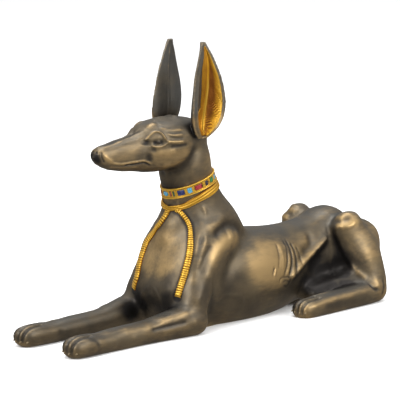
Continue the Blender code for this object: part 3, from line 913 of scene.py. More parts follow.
def srgb(text):
    """A colour written as six hex digits, as linear red, green and blue."""
    shades = [int(text[i : i + 2], 16) / 255 for i in (0, 2, 4)]
    return tuple(s / 12.92 if s <= 0.04045 else ((s + 0.055) / 1.055) ** 2.4 for s in shades)


def size(name, description, default):
    return FloatProperty(
        name=name, description=description, default=default, min=0.0, unit="LENGTH", subtype="DISTANCE"
    )


def shade(name, description, text):
    return FloatVectorProperty(
        name=name, description=description, default=srgb(text), size=3, min=0.0, max=1.0, subtype="COLOR"
    )


class FIGURINE_PG_sizes(bpy.types.PropertyGroup):
    """Sizes of the dress that lies on the casting."""

    collar_width: size("Collar width", "Width of the jewelled band, rail to rail", 0.007)
    rail_height: size("Rail height", "How far the collar's two rails stand off the neck", 0.0014)
    ring_front: size("Scarf at the throat", "Width of the scarf under the throat", 0.0038)
    ring_nape: size("Scarf at the nape", "Width of the scarf behind the neck", 0.0064)
    end_width: size("Scarf end width", "Width of the two ribbed ends on the chest", 0.0046)
    rib_pitch: size("Rib pitch", "Distance from one cross rib of the scarf ends to the next", 0.0015)
    lining: size("Lining thickness", "How far the gold lining stands off the wall of the ear", 0.0004)
    claw: size("Claw length", "Length of the claw on each toe", 0.002)
    fur_lines: IntProperty(
        name="Fur lines", description="Count of fine lines across each ear lining", default=64, min=8
    )


class FIGURINE_PG_colours(bpy.types.PropertyGroup):
    """Colours of the patina, the gold paint and the enamels."""

    wax: shade("Dark wax", "Brown-grey wax that covers most of the bronze", "74664f")
    deep_wax: shade("Deep wax", "Darker wax where the cloth did not reach", "544b3e")
    # Rubbed bronze, also the colour of the painted highlight on sides that face the light
    bronze: shade("Rubbed bronze", "Metal where the wax was rubbed off", "b99b6b")
    # Painted reflection: the grey sky mirrored in faces that turn up, also laid over the ears
    sky_reflection_grey: shade("Cool sheen", "Blue-grey bloom on the surfaces that face up", "5a5853")
    # Wax in grooves, and painted shade in deep folds and in places hidden from the sky
    recess: shade("Recess", "Wax left in grooves and deep folds", "2b2826")
    gold: shade("Gold paint", "Paint of the collar, scarf and ear linings", "c08a1a")
    bright_gold: shade("Bright gold", "Ridges of the gold paint", "e8bb4c")
    gold_wash: shade("Gold wash", "Brown wash in the grooves of the gold", "78440a")
    light_blue: shade("Light blue", "Round cells of the collar", "3a7892")
    dark_blue: shade("Dark blue", "Wide blue cells of the collar", "111b4a")
    red: shade("Red", "Wide red cells of the collar", "7c1a1e")
    green: shade("Green", "Square green cells of the collar", "1f5c2a")
    navy: shade("Navy", "Narrow dark cells of the collar", "15152e")
    russet: shade("Russet", "Narrow brown-red cells of the collar", "6e2c14")
    olive: shade("Olive", "Narrow dark green cells of the collar", "20381a")
    claw: shade("Claw", "Rubbed claws", "8c7a5c")
    floor: shade("Floor", "Pale studio floor", "f4f4f4")


# Materials


def blank_material(name):
    material = bpy.data.materials.new(name)
    material.use_nodes = True
    return material, material.node_tree, material.node_tree.nodes["Principled BSDF"]


def attribute(tree, name):
    node = tree.nodes.new("ShaderNodeAttribute")
    node.attribute_name = name
    return node.outputs["Fac"]


def speckle(tree, scale, detail=4.0, stretch=(1, 1, 1)):
    """Noise over the object's own coordinates. The scale counts features in a metre."""
    where = tree.nodes.new("ShaderNodeTexCoord")
    mapping = tree.nodes.new("ShaderNodeMapping")
    mapping.inputs["Scale"].default_value = stretch
    noise = tree.nodes.new("ShaderNodeTexNoise")
    noise.inputs["Scale"].default_value = scale
    noise.inputs["Detail"].default_value = detail
    noise.inputs["Roughness"].default_value = SPECKLE_ROUGHNESS
    tree.links.new(where.outputs["Object"], mapping.inputs["Vector"])
    tree.links.new(mapping.outputs["Vector"], noise.inputs["Vector"])
    return noise.outputs["Fac"]


def fill_socket(tree, socket, value):
    if isinstance(value, bpy.types.NodeSocket):
        tree.links.new(value, socket)
    else:
        socket.default_value = value


def calculate(tree, operation, a, b=0.0, c=0.0):
    node = tree.nodes.new("ShaderNodeMath")
    node.operation = operation
    for socket, value in zip(node.inputs, (a, b, c)):
        fill_socket(tree, socket, value)
    return node.outputs[0]


def span(tree, value, low, high, to_low=0.0, to_high=1.0):
    """The value read from low to high, eased at both ends."""
    node = tree.nodes.new("ShaderNodeMapRange")
    node.interpolation_type = "SMOOTHSTEP"
    fill_socket(tree, node.inputs["Value"], value)
    node.inputs["From Min"].default_value = low
    node.inputs["From Max"].default_value = high
    node.inputs["To Min"].default_value = to_low
    node.inputs["To Max"].default_value = to_high
    return node.outputs["Result"]


def blended(tree, share, first, second):
    """A colour that goes from the first to the second by the share."""
    node = tree.nodes.new("ShaderNodeMix")
    node.data_type = "RGBA"
    fill_socket(tree, node.inputs["Factor"], share)
    for name, colour in (("A", first), ("B", second)):
        is_socket = isinstance(colour, bpy.types.NodeSocket)
        fill_socket(tree, node.inputs[name], colour if is_socket else (*colour, 1.0))
    return node.outputs["Result"]


def grain_bump(tree, shader, heights, distance):
    bump = tree.nodes.new("ShaderNodeBump")
    bump.inputs["Distance"].default_value = distance
    bump.inputs["Strength"].default_value = 1.0
    tree.links.new(heights, bump.inputs["Height"])
    tree.links.new(bump.outputs["Normal"], shader.inputs["Normal"])


def patina_with_painted_light(colours):
    """Bronze under dark wax, wiped bright where a cloth reached, with painted highlight, painted shade and
    a painted reflection of the grey sky.
    """
    material, tree, shader = blank_material("bronze_patina")
    clouds = speckle(tree, 38, 5)
    wisps = speckle(tree, 150, 6, (1, 0.35, 1))
    strokes = speckle(tree, 620, 4, (1, 0.22, 0.8))
    grain = speckle(tree, 2600, 3)
    rub = calculate(tree, "MULTIPLY_ADD", wisps, 0.65, attribute(tree, "rub"))
    rub = calculate(tree, "MULTIPLY_ADD", strokes, 0.5, rub)
    rub = calculate(tree, "MULTIPLY_ADD", clouds, 0.5, rub)
    rubbed_and_highlighted = span(tree, rub, 0.75, 1.85)
    hollow = calculate(tree, "MULTIPLY_ADD", wisps, 0.3, attribute(tree, "hollow"))
    hollow = calculate(tree, "MULTIPLY_ADD", strokes, 0.15, hollow)
    darkened = span(tree, hollow, 0.2, 1.15)
    # Painted reflection of the grey sky on faces that turn up and on the ears
    skyward = calculate(tree, "MULTIPLY", attribute(tree, "skyward"), span(tree, clouds, 0.3, 0.7, 0.4, 1))
    colour = blended(tree, span(tree, clouds, 0.3, 0.7), tuple(colours.wax), tuple(colours.deep_wax))
    colour = blended(tree, skyward, colour, tuple(colours.sky_reflection_grey))
    # Rubbed bronze together with painted highlight
    colour = blended(tree, rubbed_and_highlighted, colour, tuple(colours.bronze))
    # Dark wax in grooves, and painted shade where the figure hides the sky and in the shaded places
    colour = blended(tree, darkened, colour, tuple(colours.recess))
    tree.links.new(colour, shader.inputs["Base Color"])
    shader.inputs["Metallic"].default_value = 0.8
    dull = calculate(tree, "MULTIPLY_ADD", strokes, 0.1, span(tree, rubbed_and_highlighted, 0, 1, 0.42, 0.38))
    tree.links.new(dull, shader.inputs["Roughness"])
    heights = calculate(tree, "MULTIPLY_ADD", strokes, 0.6, calculate(tree, "MULTIPLY", grain, 0.4))
    grain_bump(tree, shader, heights, 0.00014)
    return material


def gold_material(name, colours, shine=0.34):
    """Gold paint with a brown wash in its grooves."""
    material, tree, shader = blank_material(name)
    clouds = speckle(tree, 170, 5)
    grain = speckle(tree, 1900, 4)
    groove = calculate(tree, "MULTIPLY_ADD", grain, 0.4, attribute(tree, "groove"))
    groove = calculate(tree, "MULTIPLY_ADD", clouds, 0.35, groove)
    washed = span(tree, groove, 0.5, 1.25)
    colour = blended(tree, attribute(tree, "ridge"), tuple(colours.gold), tuple(colours.bright_gold))
    colour = blended(tree, washed, colour, tuple(colours.gold_wash))
    tree.links.new(colour, shader.inputs["Base Color"])
    shader.inputs["Metallic"].default_value = 0.72
    tree.links.new(span(tree, grain, 0.2, 0.8, shine, shine + 0.16), shader.inputs["Roughness"])
    grain_bump(tree, shader, calculate(tree, "ADD", grain, clouds), 0.00009)
    return material


def enamel_material(name, colour):
    """Enamel poured into a cell: glossy, a little clouded, darker at its rim."""
    material, tree, shader = blank_material(name)
    clouds = speckle(tree, 700, 4)
    paler = tuple(min(1.0, share * 1.35 + 0.015) for share in colour)
    darker = tuple(share * 0.55 for share in colour)
    shifted = blended(tree, span(tree, clouds, 0.3, 0.7), tuple(colour), paler)
    shifted = blended(tree, attribute(tree, "groove"), shifted, darker)
    tree.links.new(shifted, shader.inputs["Base Color"])
    tree.links.new(span(tree, clouds, 0.2, 0.8, 0.2, 0.38), shader.inputs["Roughness"])
    shader.inputs["Coat Weight"].default_value = 0.4
    shader.inputs["Coat Roughness"].default_value = 0.12
    grain_bump(tree, shader, clouds, 0.00006)
    return material


def floor_material(colours):
    material, tree, shader = blank_material("pale_studio_floor")
    soft = speckle(tree, 3, 2)
    pale = tuple(colours.floor)
    tree.links.new(blended(tree, soft, pale, tuple(0.97 * s for s in pale)), shader.inputs["Base Color"])
    shader.inputs["Roughness"].default_value = 0.9
    shader.inputs["Specular IOR Level"].default_value = 0.1
    return material


def claw_material(colours):
    """Worn claw, paler than the bronze."""
    material, tree, shader = blank_material("worn_claw")
    clouds = speckle(tree, 900, 4)
    dark, pale = tuple(colours.wax), tuple(colours.claw)
    tree.links.new(blended(tree, span(tree, clouds, 0.25, 0.6), dark, pale), shader.inputs["Base Color"])
    shader.inputs["Metallic"].default_value = 0.7
    tree.links.new(span(tree, clouds, 0.2, 0.8, 0.34, 0.5), shader.inputs["Roughness"])
    grain_bump(tree, shader, clouds, 0.00008)
    return material


# The bare casting


def finish_piece(thing, material):
    """Brings a piece from figure units to the room and ties it to the casting."""
    thing.data.transform(FIGURE_TO_ROOM)
    thing.data.materials.clear()
    thing.data.materials.append(material)
    thing.data.polygons.foreach_set("use_smooth", [True] * len(thing.data.polygons))
    thing.data.update()
    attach(thing, "root")
    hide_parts(NODE)


def fused_limbs():
    """One smooth blended body, without ears, in figure units."""
    shape = bmesh.new()
    add_limb(shape, TRUNK, 1, 2.2)
    add_limb(shape, BREAST, 1, 3.0, level=True)
    add_limb(shape, NECK, 1, 2.1, level=True)
    add_limb(shape, HEAD, 1, 2.4)
    add_limb(shape, TAIL, 1)
    for side in SIDES:
        for stations in (UPPER_ARM, FOREARM, THIGH, HAUNCH, SHANK, FOOT):
            add_limb(shape, stations, side, 2.2)
    limbs = new_object("limbs", mesh_of(shape, "limbs"))
    fuse(limbs, BLEND_VOXEL)
    smooth(limbs.data, BLEND_ROUNDS)
    return limbs


def join_ears(mesh):
    """Adds both ears to the mesh."""
    shape = bmesh.new()
    shape.from_mesh(mesh)
    for side in SIDES:
        add_ear(shape, side)
    shape.to_mesh(mesh)
    shape.free()


def carve_and_colour(thing, seen, further, occluder, has_foot):
    """Carves the strokes into a bare skin and notes where the wax stays, where a cloth wiped it off, and
    where highlight, shade and the sky's reflection are painted.
    """
    mesh = thing.data
    tree = skin_tree(mesh)
    strokes = seen_strokes(tree, seen) + further
    places, normals = vertex_rows(mesh, "co"), vertex_rows(mesh, "normal")
    height = stroke_effect(places, tree, strokes)[0]
    move_vertices(mesh, places + normals * height[:, None])
    smooth(mesh, CARVED_ROUNDS)
    if has_foot:
        cut(mesh, (0, 0, 0), (0, 0, 1))
    thin_out(thing, PIECE_TRIANGLES)
    mesh = thing.data
    places, normals, ends = vertex_rows(mesh, "co"), vertex_rows(mesh, "normal"), edge_ends(mesh)
    bright, dark = stroke_effect(places, tree, strokes)[1:]
    fine = convexity(places, normals, ends, FINE_ROUNDS)
    broad = convexity(places, normals, ends, BROAD_ROUNDS)
    hidden = closed_in(places, normals, ends, occluder)
    dark_line = beside_scarf(places, tree) if has_foot else 0.0
    # Bronze rubbed bright with painted highlight, and painted shade, each where its table lays it
    rubbed_and_highlighted, darkened = patch_shares(places, tree, RUBBED_AND_HIGHLIGHTED), patch_shares(places, tree, SHADED_PLACES)
    rub, hollow = wax_and_light_shares(normals[:, 2], rubbed_and_highlighted, darkened, bright, dark, fine, broad, hidden, dark_line)
    ears = eased(places[:, 2], *EARS_FREE)
    set_share(mesh, "rub", rub - EARS_DIMMED * ears)
    set_share(mesh, "hollow", hollow)
    # Painted reflection: faces that turn up, and the ears, take the grey of the mirrored sky
    set_share(mesh, "skyward", np.maximum(np.clip(normals[:, 2] * 1.3 - 0.25, 0, 1), ears))


def build_skins(limbs):
    """The bare casting: a head with its ears and a body, which meet under the collar."""
    occluding = copy_of(limbs, "occluding")
    join_ears(occluding.data)
    occluder = skin_tree(occluding.data)
    drop(occluding)
    middle = Vector((0, 0, COLLAR_HEIGHT))
    head, body = copy_of(limbs, "head_skin"), copy_of(limbs, "body_skin")
    cut(head.data, middle - CUT_SPARE * COLLAR_UP, COLLAR_UP)
    refine(head, 2)
    join_ears(head.data)
    fuse(head, HEAD_VOXEL)
    smooth(head.data, HEAD_ROUNDS)
    cut(head.data, middle, COLLAR_UP)
    carve_and_colour(head, HEAD_STROKES, [ear_seam()], occluder, False)
    cut(body.data, middle + CUT_SPARE * COLLAR_UP, -COLLAR_UP)
    refine(body, 1)
    fuse(body, BODY_VOXEL)
    smooth(body.data, BODY_ROUNDS)
    cut(body.data, middle, -COLLAR_UP)
    carve_and_colour(body, TRUNK_STROKES + LEG_STROKES, toe_clefts(), occluder, True)
    return head, body


# Collar, scarf, ear linings and claws


def neck_point(tree, turn, shift, lift):
    """A place over the neck: turn from the throat to the left, shift up the band, lift off the skin."""
    x, y = math.sin(turn), -math.cos(turn)
    outward = Vector((x, y, COLLAR_LEAN * x + COLLAR_RISE * y)).normalized()
    middle = Vector((0, NECK_AXIS, COLLAR_HEIGHT + COLLAR_RISE * NECK_AXIS)) + COLLAR_UP * shift
    hit = tree.ray_cast(middle + 60 * outward, -outward)[0]
    if hit is None:
        raise RuntimeError("the collar found no neck to lie on")
    return hit + outward * lift


def collar_cells():
    """Cells round the whole collar: angle, half width in degrees, colour, and whether it is round."""
    cells = []
    for angle, half, colour, is_round in COLLAR_CELLS:
        cells.append((COLLAR_TURN + angle, half, colour, is_round))
        if 0 < angle < 180:
            cells.append((COLLAR_TURN - angle, half, colour, is_round))
    return cells


def pocket(angle, shift, cell):
    """How deep a point of the collar lies in a cell's pocket, from 0 to 1."""
    middle, half, _, is_round = cell
    a = abs((math.degrees(angle) - middle + 180) % 360 - 180) / half
    b = abs(shift) / CELL_HALF_HEIGHT
    inside = 1 - (math.hypot(a, b) if is_round else max(a, b))
    return eased(inside * min(half * UNITS_IN_A_DEGREE, CELL_HALF_HEIGHT), -0.08, 0.16)


def ring_piece(name, rings, closed):
    """A piece made of rings of (place, groove, ridge) rows. A closed one has no first or last ring."""
    shape = bmesh.new()
    made = [[shape.verts.new(place) for place, _, _ in ring] for ring in rings]
    skin_rings(shape, made + made[:1] if closed else made, capped=not closed)
    mesh = mesh_of(shape, name)
    set_share(mesh, "groove", [groove for ring in rings for _, groove, _ in ring])
    set_share(mesh, "ridge", [ridge for ring in rings for _, _, ridge in ring])
    return new_object(name, mesh)


def build_collar_band(neck, sizes):
    """The gold band with its two rails, bars and the pockets for the enamel."""
    half = sizes.collar_width / UNIT / 2
    rail = sizes.rail_height / UNIT
    cells = collar_cells()
    rings = []
    for step in range(COLLAR_STEPS):
        turn = math.tau * step / COLLAR_STEPS
        ring = [(neck_point(neck, turn, -half, -BAND_SUNK), 1.0, 0.0)]
        for share in np.linspace(-1, 1, BAND_ROWS):
            rails = math.exp(-(((abs(share) - RAIL_PLACE) / RAIL_HALF) ** 4))
            beads = BEAD_LIFT * math.cos(turn * BEADS) * rails
            sunk = max(pocket(turn, share * half, cell) for cell in cells)
            edge = 1 - max(abs(share) - RAIL_EDGE, 0) / RAIL_EDGE_BREADTH * RAIL_ROUNDED
            field = BAR_HEIGHT * rail * (1 - sunk) + POCKET_FLOOR * rail * sunk
            lift = (field * (1 - rails) + (rail + beads) * rails) * edge
            dark_line = math.exp(-(((abs(share) - 0.7) / 0.06) ** 2))
            groove = min(0.75 * sunk + 0.75 * dark_line + 0.35 * (abs(share) > 0.97), 1.0)
            bright = max(0.9 * rails, 0.6 * (1 - sunk))
            ring.append((neck_point(neck, turn, share * half, lift), groove, bright))
        ring.append((neck_point(neck, turn, half, -BAND_SUNK), 1.0, 0.0))
        rings.append(ring)
    return ring_piece("collar_band", rings, True)


def enamel_cell(shape, neck, rail, cell):
    """Adds one domed cell of enamel. Gives how near to its rim each of its points is."""
    middle, half, _, is_round = cell
    grid, rims = [], []
    for across in np.linspace(-1, 1, 15):
        row = []
        for up in np.linspace(-1, 1, 13):
            if is_round:
                a, b = across * math.sqrt(1 - up * up / 2), up * math.sqrt(1 - across * across / 2)
                rim = math.hypot(a, b)
            else:
                a, b, rim = across, up, max(abs(across), abs(up))
            edge = eased(rim, 0.8, 1.0)
            lift = rail * (ENAMEL_HEIGHT - 0.12 * rim * rim) * (1 - edge) + ENAMEL_RIM * rail * edge
            turn = math.radians(middle + a * half * CELL_FIT)
            row.append(shape.verts.new(neck_point(neck, turn, b * CELL_HALF_HEIGHT * CELL_FIT, lift)))
            rims.append(float(eased(rim, 0.72, 0.98)))
        grid.append(row)
    skin_rings(shape, grid, closed=False, capped=False)
    return rims


def build_collar_cells(neck, sizes, colour):
    """The enamel of one colour, one cell in each pocket of that colour."""
    shape = bmesh.new()
    rims = []
    for cell in collar_cells():
        if cell[2] == colour:
            rims += enamel_cell(shape, neck, sizes.rail_height / UNIT, cell)
    name = "collar_cells_" + colour
    mesh = mesh_of(shape, name)
    set_share(mesh, "groove", rims)
    cells = new_object(name, mesh)
    thicken(cells, ENAMEL_THICKNESS)
    return cells


def even_normals(tree, points, closed, rounds=30):
    """The directions off the skin along the points, evened out."""
    normals = np.array([tree.find_nearest(Vector(point))[1] for point in points])
    for _ in range(rounds):
        around = np.roll(normals, 1, axis=0) + np.roll(normals, -1, axis=0)
        if not closed:
            around[0], around[-1] = 2 * normals[0], 2 * normals[-1]
        normals = 0.5 * normals + 0.25 * around
        normals /= np.linalg.norm(normals, axis=1)[:, None]
    return normals


def band_on_skin(tree, points, half_widths, columns, lift_at, name, closed=False):
    """A band that follows the points over the skin.

    lift_at takes the distance travelled, the place across the band from -1 to 1 and the share of the
    length, and gives the lift, groove, ridge and breadth there.
    """
    count = len(points)
    if closed:
        tangents = np.roll(points, -1, axis=0) - np.roll(points, 1, axis=0)
    else:
        tangents = np.gradient(points, axis=0)
    tangents /= np.linalg.norm(tangents, axis=1)[:, None]
    normals = even_normals(tree, points, closed)
    travelled = np.concatenate([[0], np.cumsum(np.linalg.norm(np.diff(points, axis=0), axis=1))])
    rings = []
    for i in range(count):
        along = i / (count - 1)
        side = np.cross(normals[i], tangents[i])
        side /= np.linalg.norm(side)
        ring = []
        for share in np.linspace(-1, 1, columns):
            lift, groove, ridge, breadth = lift_at(travelled[i], share, along)
            over = Vector(points[i] + side * share * half_widths[i] * breadth)
            skin = tree.find_nearest(over)[0]
            ring.append((skin + Vector(normals[i]) * lift, groove, ridge))
        for share, edge in ((1, ring[-1][0]), (-1, ring[0][0])):
            depth = lift_at(travelled[i], share, along)[0] + BAND_SUNK
            ring.append((edge - Vector(normals[i]) * depth, 1.0, 0.0))
        rings.append(ring)
    return ring_piece(name, rings, closed)


def build_scarf_ring(skin, sizes):
    """The folded cloth round the neck: narrow at the throat, broad at the nape."""
    left = read_along(SCARF_RING, 150)
    loop = np.concatenate([left, (left * (-1, 1, 1))[-2:0:-1]])
    loop = laid_on(skin, loop)
    for _ in range(12):
        loop = 0.5 * loop + 0.25 * (np.roll(loop, 1, axis=0) + np.roll(loop, -1, axis=0))
    front, nape = sizes.ring_front / UNIT / 2, sizes.ring_nape / UNIT / 2
    back = eased(loop[:, 1], -20.0, 4.0)
    widths = front + (nape - front) * back

    def lift_at(travelled, share, _):
        edge = max(1 - abs(share) ** 5, 0.0)
        wave = share + 0.22 * math.sin(travelled * 0.09) + 0.05 * math.sin(travelled * 0.31 + 3 * share)
        folds = math.cos(wave * 9.5)
        fine = math.cos(wave * 24 + 0.12 * travelled)
        lift = RING_THICKNESS + 0.17 * folds + 0.07 * fine - 0.2 * share * share
        groove = 0.3 * (1 - folds) / 2 + 0.25 * (1 - fine) / 2 + 0.5 * (1 - edge)
        ridge = 0.5 * (folds + 1) / 2 + 0.3 * (fine + 1) / 2
        return lift * (0.3 + 0.7 * edge), groove, ridge, 1.0

    return band_on_skin(skin, loop, widths, 31, lift_at, "scarf_ring", True)


def build_scarf_end(skin, sizes, side):
    """One loose end of the scarf, cross ribbed and cut square."""
    points = laid_on(skin, read_along(scarf_end_path(skin, side), SCARF_STEPS))
    for _ in range(40):
        points[1:-1] = 0.5 * points[1:-1] + 0.25 * (points[2:] + points[:-2])
    half, pitch = sizes.end_width / UNIT / 2, sizes.rib_pitch / UNIT

    def lift_at(travelled, share, along):
        slack = 0.16 * math.sin(travelled * 0.37) + 0.07 * share
        phase = abs((travelled / pitch + slack) % 1 - 0.5) * 2
        notch = math.exp(-((phase / 0.36) ** 2)) * (0.75 + 0.25 * math.sin(travelled * 0.9))
        edge = max(1 - abs(share) ** 6, 0.0)
        start = float(eased(along, 0.0, 0.03))
        crown = END_THICKNESS - 0.3 * share * share
        lift = crown * (0.35 + 0.65 * edge) * (1 - 0.3 * notch) * (0.55 + 0.45 * start)
        cap = float(eased(along, 0.985, 1.0))
        groove = 1.05 * notch + 0.3 * (1 - edge)
        return lift * (1 - 0.5 * cap), groove, 0.8 * (1 - notch) * edge, 1 - 0.04 * notch

    along = np.linspace(0, 1, len(points))
    widths = half * SCARF_END_BREADTH[side] * (0.68 + 0.32 * eased(along, 0.25, 0.5))
    return band_on_skin(skin, points, widths, 15, lift_at, "scarf_end_" + side)


def lining_relief(sizes, up, share, start):
    """Lift, groove and ridge of an ear's lining, a share of the way up it and round its cup."""
    past = share - FOLD_PLACE
    fold = math.exp(-((past / 0.022) ** 2)) * eased(up, 0.0, 0.06) * (1 - eased(up, 0.52, 0.7))
    valley = math.exp(-(((past - 0.12) / 0.1) ** 2)) * (0.45 + 0.55 * eased(up, 0.12, 0.35))
    valley *= 1 - 0.6 * eased(up, 0.6, 0.85)
    fan = up - FUR_FAN * (up - FUR_LEVEL) * past
    slant = sizes.fur_lines * fan + 0.9 * math.sin(share * 17 + up * 31)
    fur = 0.5 + 0.5 * math.cos(math.tau * slant)
    furred = eased(past, 0.03, 0.1) * (1 - eased(up, 0.9, 1.0))
    rim = eased(share, 0.78, 0.93)
    trim = eased(min(up, 1 - up, 3 * (share - start), 3 * (LINING_END - share)), 0.0, 0.02)
    foot = 0.9 * (1 - eased(up, 0.0, 0.12))
    leaf = sizes.lining / UNIT + foot + 0.9 * fold - 0.2 * valley + 0.34 * fur * furred
    groove = 0.95 * valley + 0.6 * (1 - fur) * furred * (1 - 0.6 * rim)
    groove += 0.5 * (1 - eased(past, -0.06, 0.0)) + 0.35 * eased(share, 0.93, 0.96) - 0.8 * fold
    ridge = min(0.8 * fold + (0.35 + 0.4 * fur) * rim * furred, 1.0)
    return leaf * trim - 0.25 * (1 - trim), min(max(groove, 0.0), 1.2), ridge


def build_ear_lining(sizes, side):
    """Gold leaf in the cup of an ear: a fold up its middle, and fur drawn from it to the rim."""
    first, last = (int(share * LINING_ROWS) for share in LINING_REACH)
    rows = read_along(EAR, LINING_ROWS, 1)[first:last]
    shape = bmesh.new()
    grid, grooves, ridges = [], [], []
    for row, up in zip(rows, [number / (len(rows) - 1) for number in range(len(rows))]):
        start = float(np.interp(row[0], *zip(*LINING_START)))
        line = []
        for share in np.linspace(start, LINING_END, LINING_COLUMNS):
            lift, groove, ridge = lining_relief(sizes, up, share, start)
            place = ear_point(row, share * math.pi, lift) * Vector((SIGNS[side], 1, 1))
            line.append(shape.verts.new(place))
            grooves.append(groove)
            ridges.append(ridge)
        grid.append(line)
    skin_rings(shape, grid, closed=False, capped=False)
    name = "ear_lining_" + side
    mesh = mesh_of(shape, name)
    set_share(mesh, "groove", grooves)
    set_share(mesh, "ridge", ridges)
    outward = sum((face.normal * face.area for face in mesh.polygons), Vector()).x * SIGNS[side]
    if outward < 0:
        mesh.flip_normals()
    lining = new_object(name, mesh)
    thicken(lining, LINING_THICKNESS)
    return lining


def add_claw(shape, root, length, sides=14):
    """Adds one blunt claw that grows forward out of the root and droops."""
    rings = []
    for share in np.linspace(0, 1, 9):
        thick = CLAW_RADIUS * math.sqrt(max(1 - share**2.2, 0.003))
        middle = root + Vector((0, CLAW_ROOT - length * share, -CLAW_DROOP * share * share))
        ring = []
        for step in range(sides):
            turn = math.tau * step / sides
            off = Vector((0.75 * thick * math.cos(turn), 0, thick * math.sin(turn)))
            ring.append(shape.verts.new(middle + off))
        rings.append(ring)
    skin_rings(shape, rings)


def build_claws(skin, sizes):
    """A small claw low on the front of each toe."""
    shape = bmesh.new()
    for before, columns in CLAWS:
        for x in columns:
            for side in SIDES:
                hit = skin.ray_cast(Vector((x * side, before, CLAW_HEIGHT)), Vector((0, 1, 0)))[0]
                if hit is None:
                    raise RuntimeError("a claw found no toe to grow from")
                add_claw(shape, hit, sizes.claw / UNIT)
    mesh = mesh_of(shape, "claws")
    set_share(mesh, "groove", np.zeros(len(mesh.vertices)))
    set_share(mesh, "ridge", np.full(len(mesh.vertices), 0.5))
    return new_object("claws", mesh)


# Operators, one for each group of pieces


def kept_limbs():
    """The blended body, made once and left out of the finished scene by the last operator."""
    limbs = bpy.data.objects.get("limbs")
    if limbs is None:
        raise RuntimeError("the skin has to be built before this piece")
    return limbs


def bare_tree():
    """The body without strokes, as a tree on which the other pieces are laid."""
    smooth_limbs = copy_of(kept_limbs(), "smooth_limbs")
    refine(smooth_limbs, 1)
    tree = skin_tree(smooth_limbs.data)
    drop(smooth_limbs)
    return tree


class FIGURINE_OT_skin(bpy.types.Operator):
    """Casts the head and the body, ages their bronze and paints highlight, shade and the sky's reflection
    into it.
    """

    bl_idname = "figurine.skin"
    bl_label = "Bronze skin"

    def execute(self, context):
        bronze = patina_with_painted_light(context.scene.figurine_colours)
        for skin in build_skins(fused_limbs()):
            finish_piece(skin, bronze)
        return {"FINISHED"}


class FIGURINE_OT_ear_linings(bpy.types.Operator):
    """Lays the gold lining into both ears."""

    bl_idname = "figurine.ear_linings"
    bl_label = "Ear linings"

    def execute(self, context):
        sizes = context.scene.figurine_sizes
        gold = gold_material("gold_of_the_ears", context.scene.figurine_colours, 0.36)
        for side in SIGNS:
            finish_piece(build_ear_lining(sizes, side), gold)
        return {"FINISHED"}


class FIGURINE_OT_collar(bpy.types.Operator):
    """Lays the collar round the neck and fills its cells with enamel."""

    bl_idname = "figurine.collar"
    bl_label = "Jewelled collar"

    def execute(self, context):
        sizes, colours = context.scene.figurine_sizes, context.scene.figurine_colours
        neck = bare_tree()
        finish_piece(build_collar_band(neck, sizes), gold_material("gold_of_the_collar", colours))
        for colour in sorted({cell[2] for cell in COLLAR_CELLS}):
            enamel = enamel_material("enamel_" + colour, tuple(getattr(colours, colour)))
            finish_piece(build_collar_cells(neck, sizes, colour), enamel)
        return {"FINISHED"}


class FIGURINE_OT_scarf(bpy.types.Operator):
    """Winds the gold scarf round the neck and lays its two ends on the chest."""

    bl_idname = "figurine.scarf"
    bl_label = "Gold scarf"

    def execute(self, context):
        sizes = context.scene.figurine_sizes
        gold = gold_material("gold_of_the_scarf", context.scene.figurine_colours, 0.32)
        skin = bare_tree()
        finish_piece(build_scarf_ring(skin, sizes), gold)
        for side in SCARF_ENDS:
            finish_piece(build_scarf_end(skin, sizes, side), gold)
        return {"FINISHED"}


class FIGURINE_OT_claws(bpy.types.Operator):
    """Sets a claw on each toe."""

    bl_idname = "figurine.claws"
    bl_label = "Claws"

    def execute(self, context):
        horn = claw_material(context.scene.figurine_colours)
        finish_piece(build_claws(bare_tree(), context.scene.figurine_sizes), horn)
        return {"FINISHED"}


def stand_facing(thing, place):
    """Puts a light or the camera at the place and turns it to the figure."""
    thing.location = place
    thing.rotation_euler = (AIM - place).to_track_quat("-Z", "Y").to_euler()


def white_background(tree, strength):
    node = tree.nodes.new("ShaderNodeBackground")
    node.inputs["Color"].default_value = (1, 1, 1, 1)
    node.inputs["Strength"].default_value = strength
    return node


def shown_to(tree, rays, others, background):
    """What the others show, with the background instead to one kind of light rays."""
    path = tree.nodes.new("ShaderNodeLightPath")
    mix = tree.nodes.new("ShaderNodeMixShader")
    tree.links.new(path.outputs[rays], mix.inputs["Fac"])
    tree.links.new(others, mix.inputs[1])
    tree.links.new(background.outputs["Background"], mix.inputs[2])
    return mix.outputs["Shader"]


def fill_world(tree):
    """White behind the figure, a soft grey sky in what it mirrors, and a white one on matt surfaces."""
    sky = tree.nodes["Background"]
    where = tree.nodes.new("ShaderNodeTexCoord")
    split = tree.nodes.new("ShaderNodeSeparateXYZ")
    tree.links.new(where.outputs["Generated"], split.inputs["Vector"])
    grey = blended(tree, span(tree, split.outputs["Z"], -0.4, 0.9), LOW_SKY, HIGH_SKY)
    tree.links.new(grey, sky.inputs["Color"])
    sky.inputs["Strength"].default_value = MIRRORED_STRENGTH
    shown = shown_to(tree, "Is Camera Ray", sky.outputs["Background"], white_background(tree, 1.0))
    shown = shown_to(tree, "Is Diffuse Ray", shown, white_background(tree, MATT_STRENGTH))
    tree.links.new(shown, tree.nodes["World Output"].inputs["Surface"])


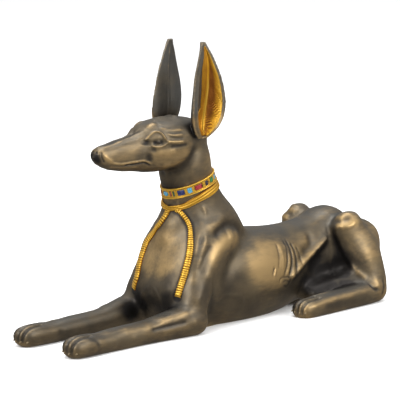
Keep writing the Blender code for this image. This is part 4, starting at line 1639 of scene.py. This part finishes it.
class FIGURINE_OT_stage(bpy.types.Operator):
    """Sets the pale floor, the soft lights and the camera."""

    bl_idname = "figurine.stage"
    bl_label = "Studio"

    def execute(self, context):
        scene = context.scene
        drop(kept_limbs())
        shape = bmesh.new()
        bmesh.ops.create_grid(shape, x_segments=8, y_segments=8, size=FLOOR_HALF)
        floor = new_object("studio_floor", mesh_of(shape, "studio_floor"))
        floor.data.materials.append(floor_material(scene.figurine_colours))
        floor.location.z = CAD_LOW.z
        floor.visible_glossy = False
        for name, place, width, power in LIGHTS:
            lamp = bpy.data.lights.new(name, "AREA")
            lamp.shape = "DISK"
            lamp.size = width
            lamp.energy = power
            stand_facing(new_object(name, lamp), Vector(place))
        studio = bpy.data.worlds.new("pale_studio")
        studio.use_nodes = True
        fill_world(studio.node_tree)
        scene.world = studio
        lens = bpy.data.cameras.new("photograph")
        lens.lens = LENS
        lens.sensor_width = SENSOR
        scene.camera = new_object("photograph", lens)
        stand_facing(scene.camera, EYE)
        scene.view_settings.view_transform = "Standard"
        return {"FINISHED"}


# The add-on


STEPS = (
    FIGURINE_OT_skin,
    FIGURINE_OT_ear_linings,
    FIGURINE_OT_collar,
    FIGURINE_OT_scarf,
    FIGURINE_OT_claws,
    FIGURINE_OT_stage,
)


class FIGURINE_PT_panel(bpy.types.Panel):
    """Lists the steps that build the figurine."""

    bl_idname = "FIGURINE_PT_panel"
    bl_label = "Jackal figurine"
    bl_space_type = "VIEW_3D"
    bl_region_type = "UI"
    bl_category = "Figurine"

    def draw(self, context):
        for step in STEPS:
            self.layout.operator(step.bl_idname)
        for group in (context.scene.figurine_sizes, context.scene.figurine_colours):
            box = self.layout.box()
            for name in group.__annotations__:
                box.prop(group, name)


CLASSES = (FIGURINE_PG_sizes, FIGURINE_PG_colours, *STEPS, FIGURINE_PT_panel)


def register():
    for kind in CLASSES:
        bpy.utils.register_class(kind)
    bpy.types.Scene.figurine_sizes = PointerProperty(type=FIGURINE_PG_sizes)
    bpy.types.Scene.figurine_colours = PointerProperty(type=FIGURINE_PG_colours)


def unregister():
    del bpy.types.Scene.figurine_colours
    del bpy.types.Scene.figurine_sizes
    for kind in reversed(CLASSES):
        bpy.utils.unregister_class(kind)


def main():
    register()
    bpy.ops.figurine.skin()
    bpy.ops.figurine.ear_linings()
    bpy.ops.figurine.collar()
    bpy.ops.figurine.scarf()
    bpy.ops.figurine.claws()
    bpy.ops.figurine.stage()


if __name__ == "__main__":
    main()
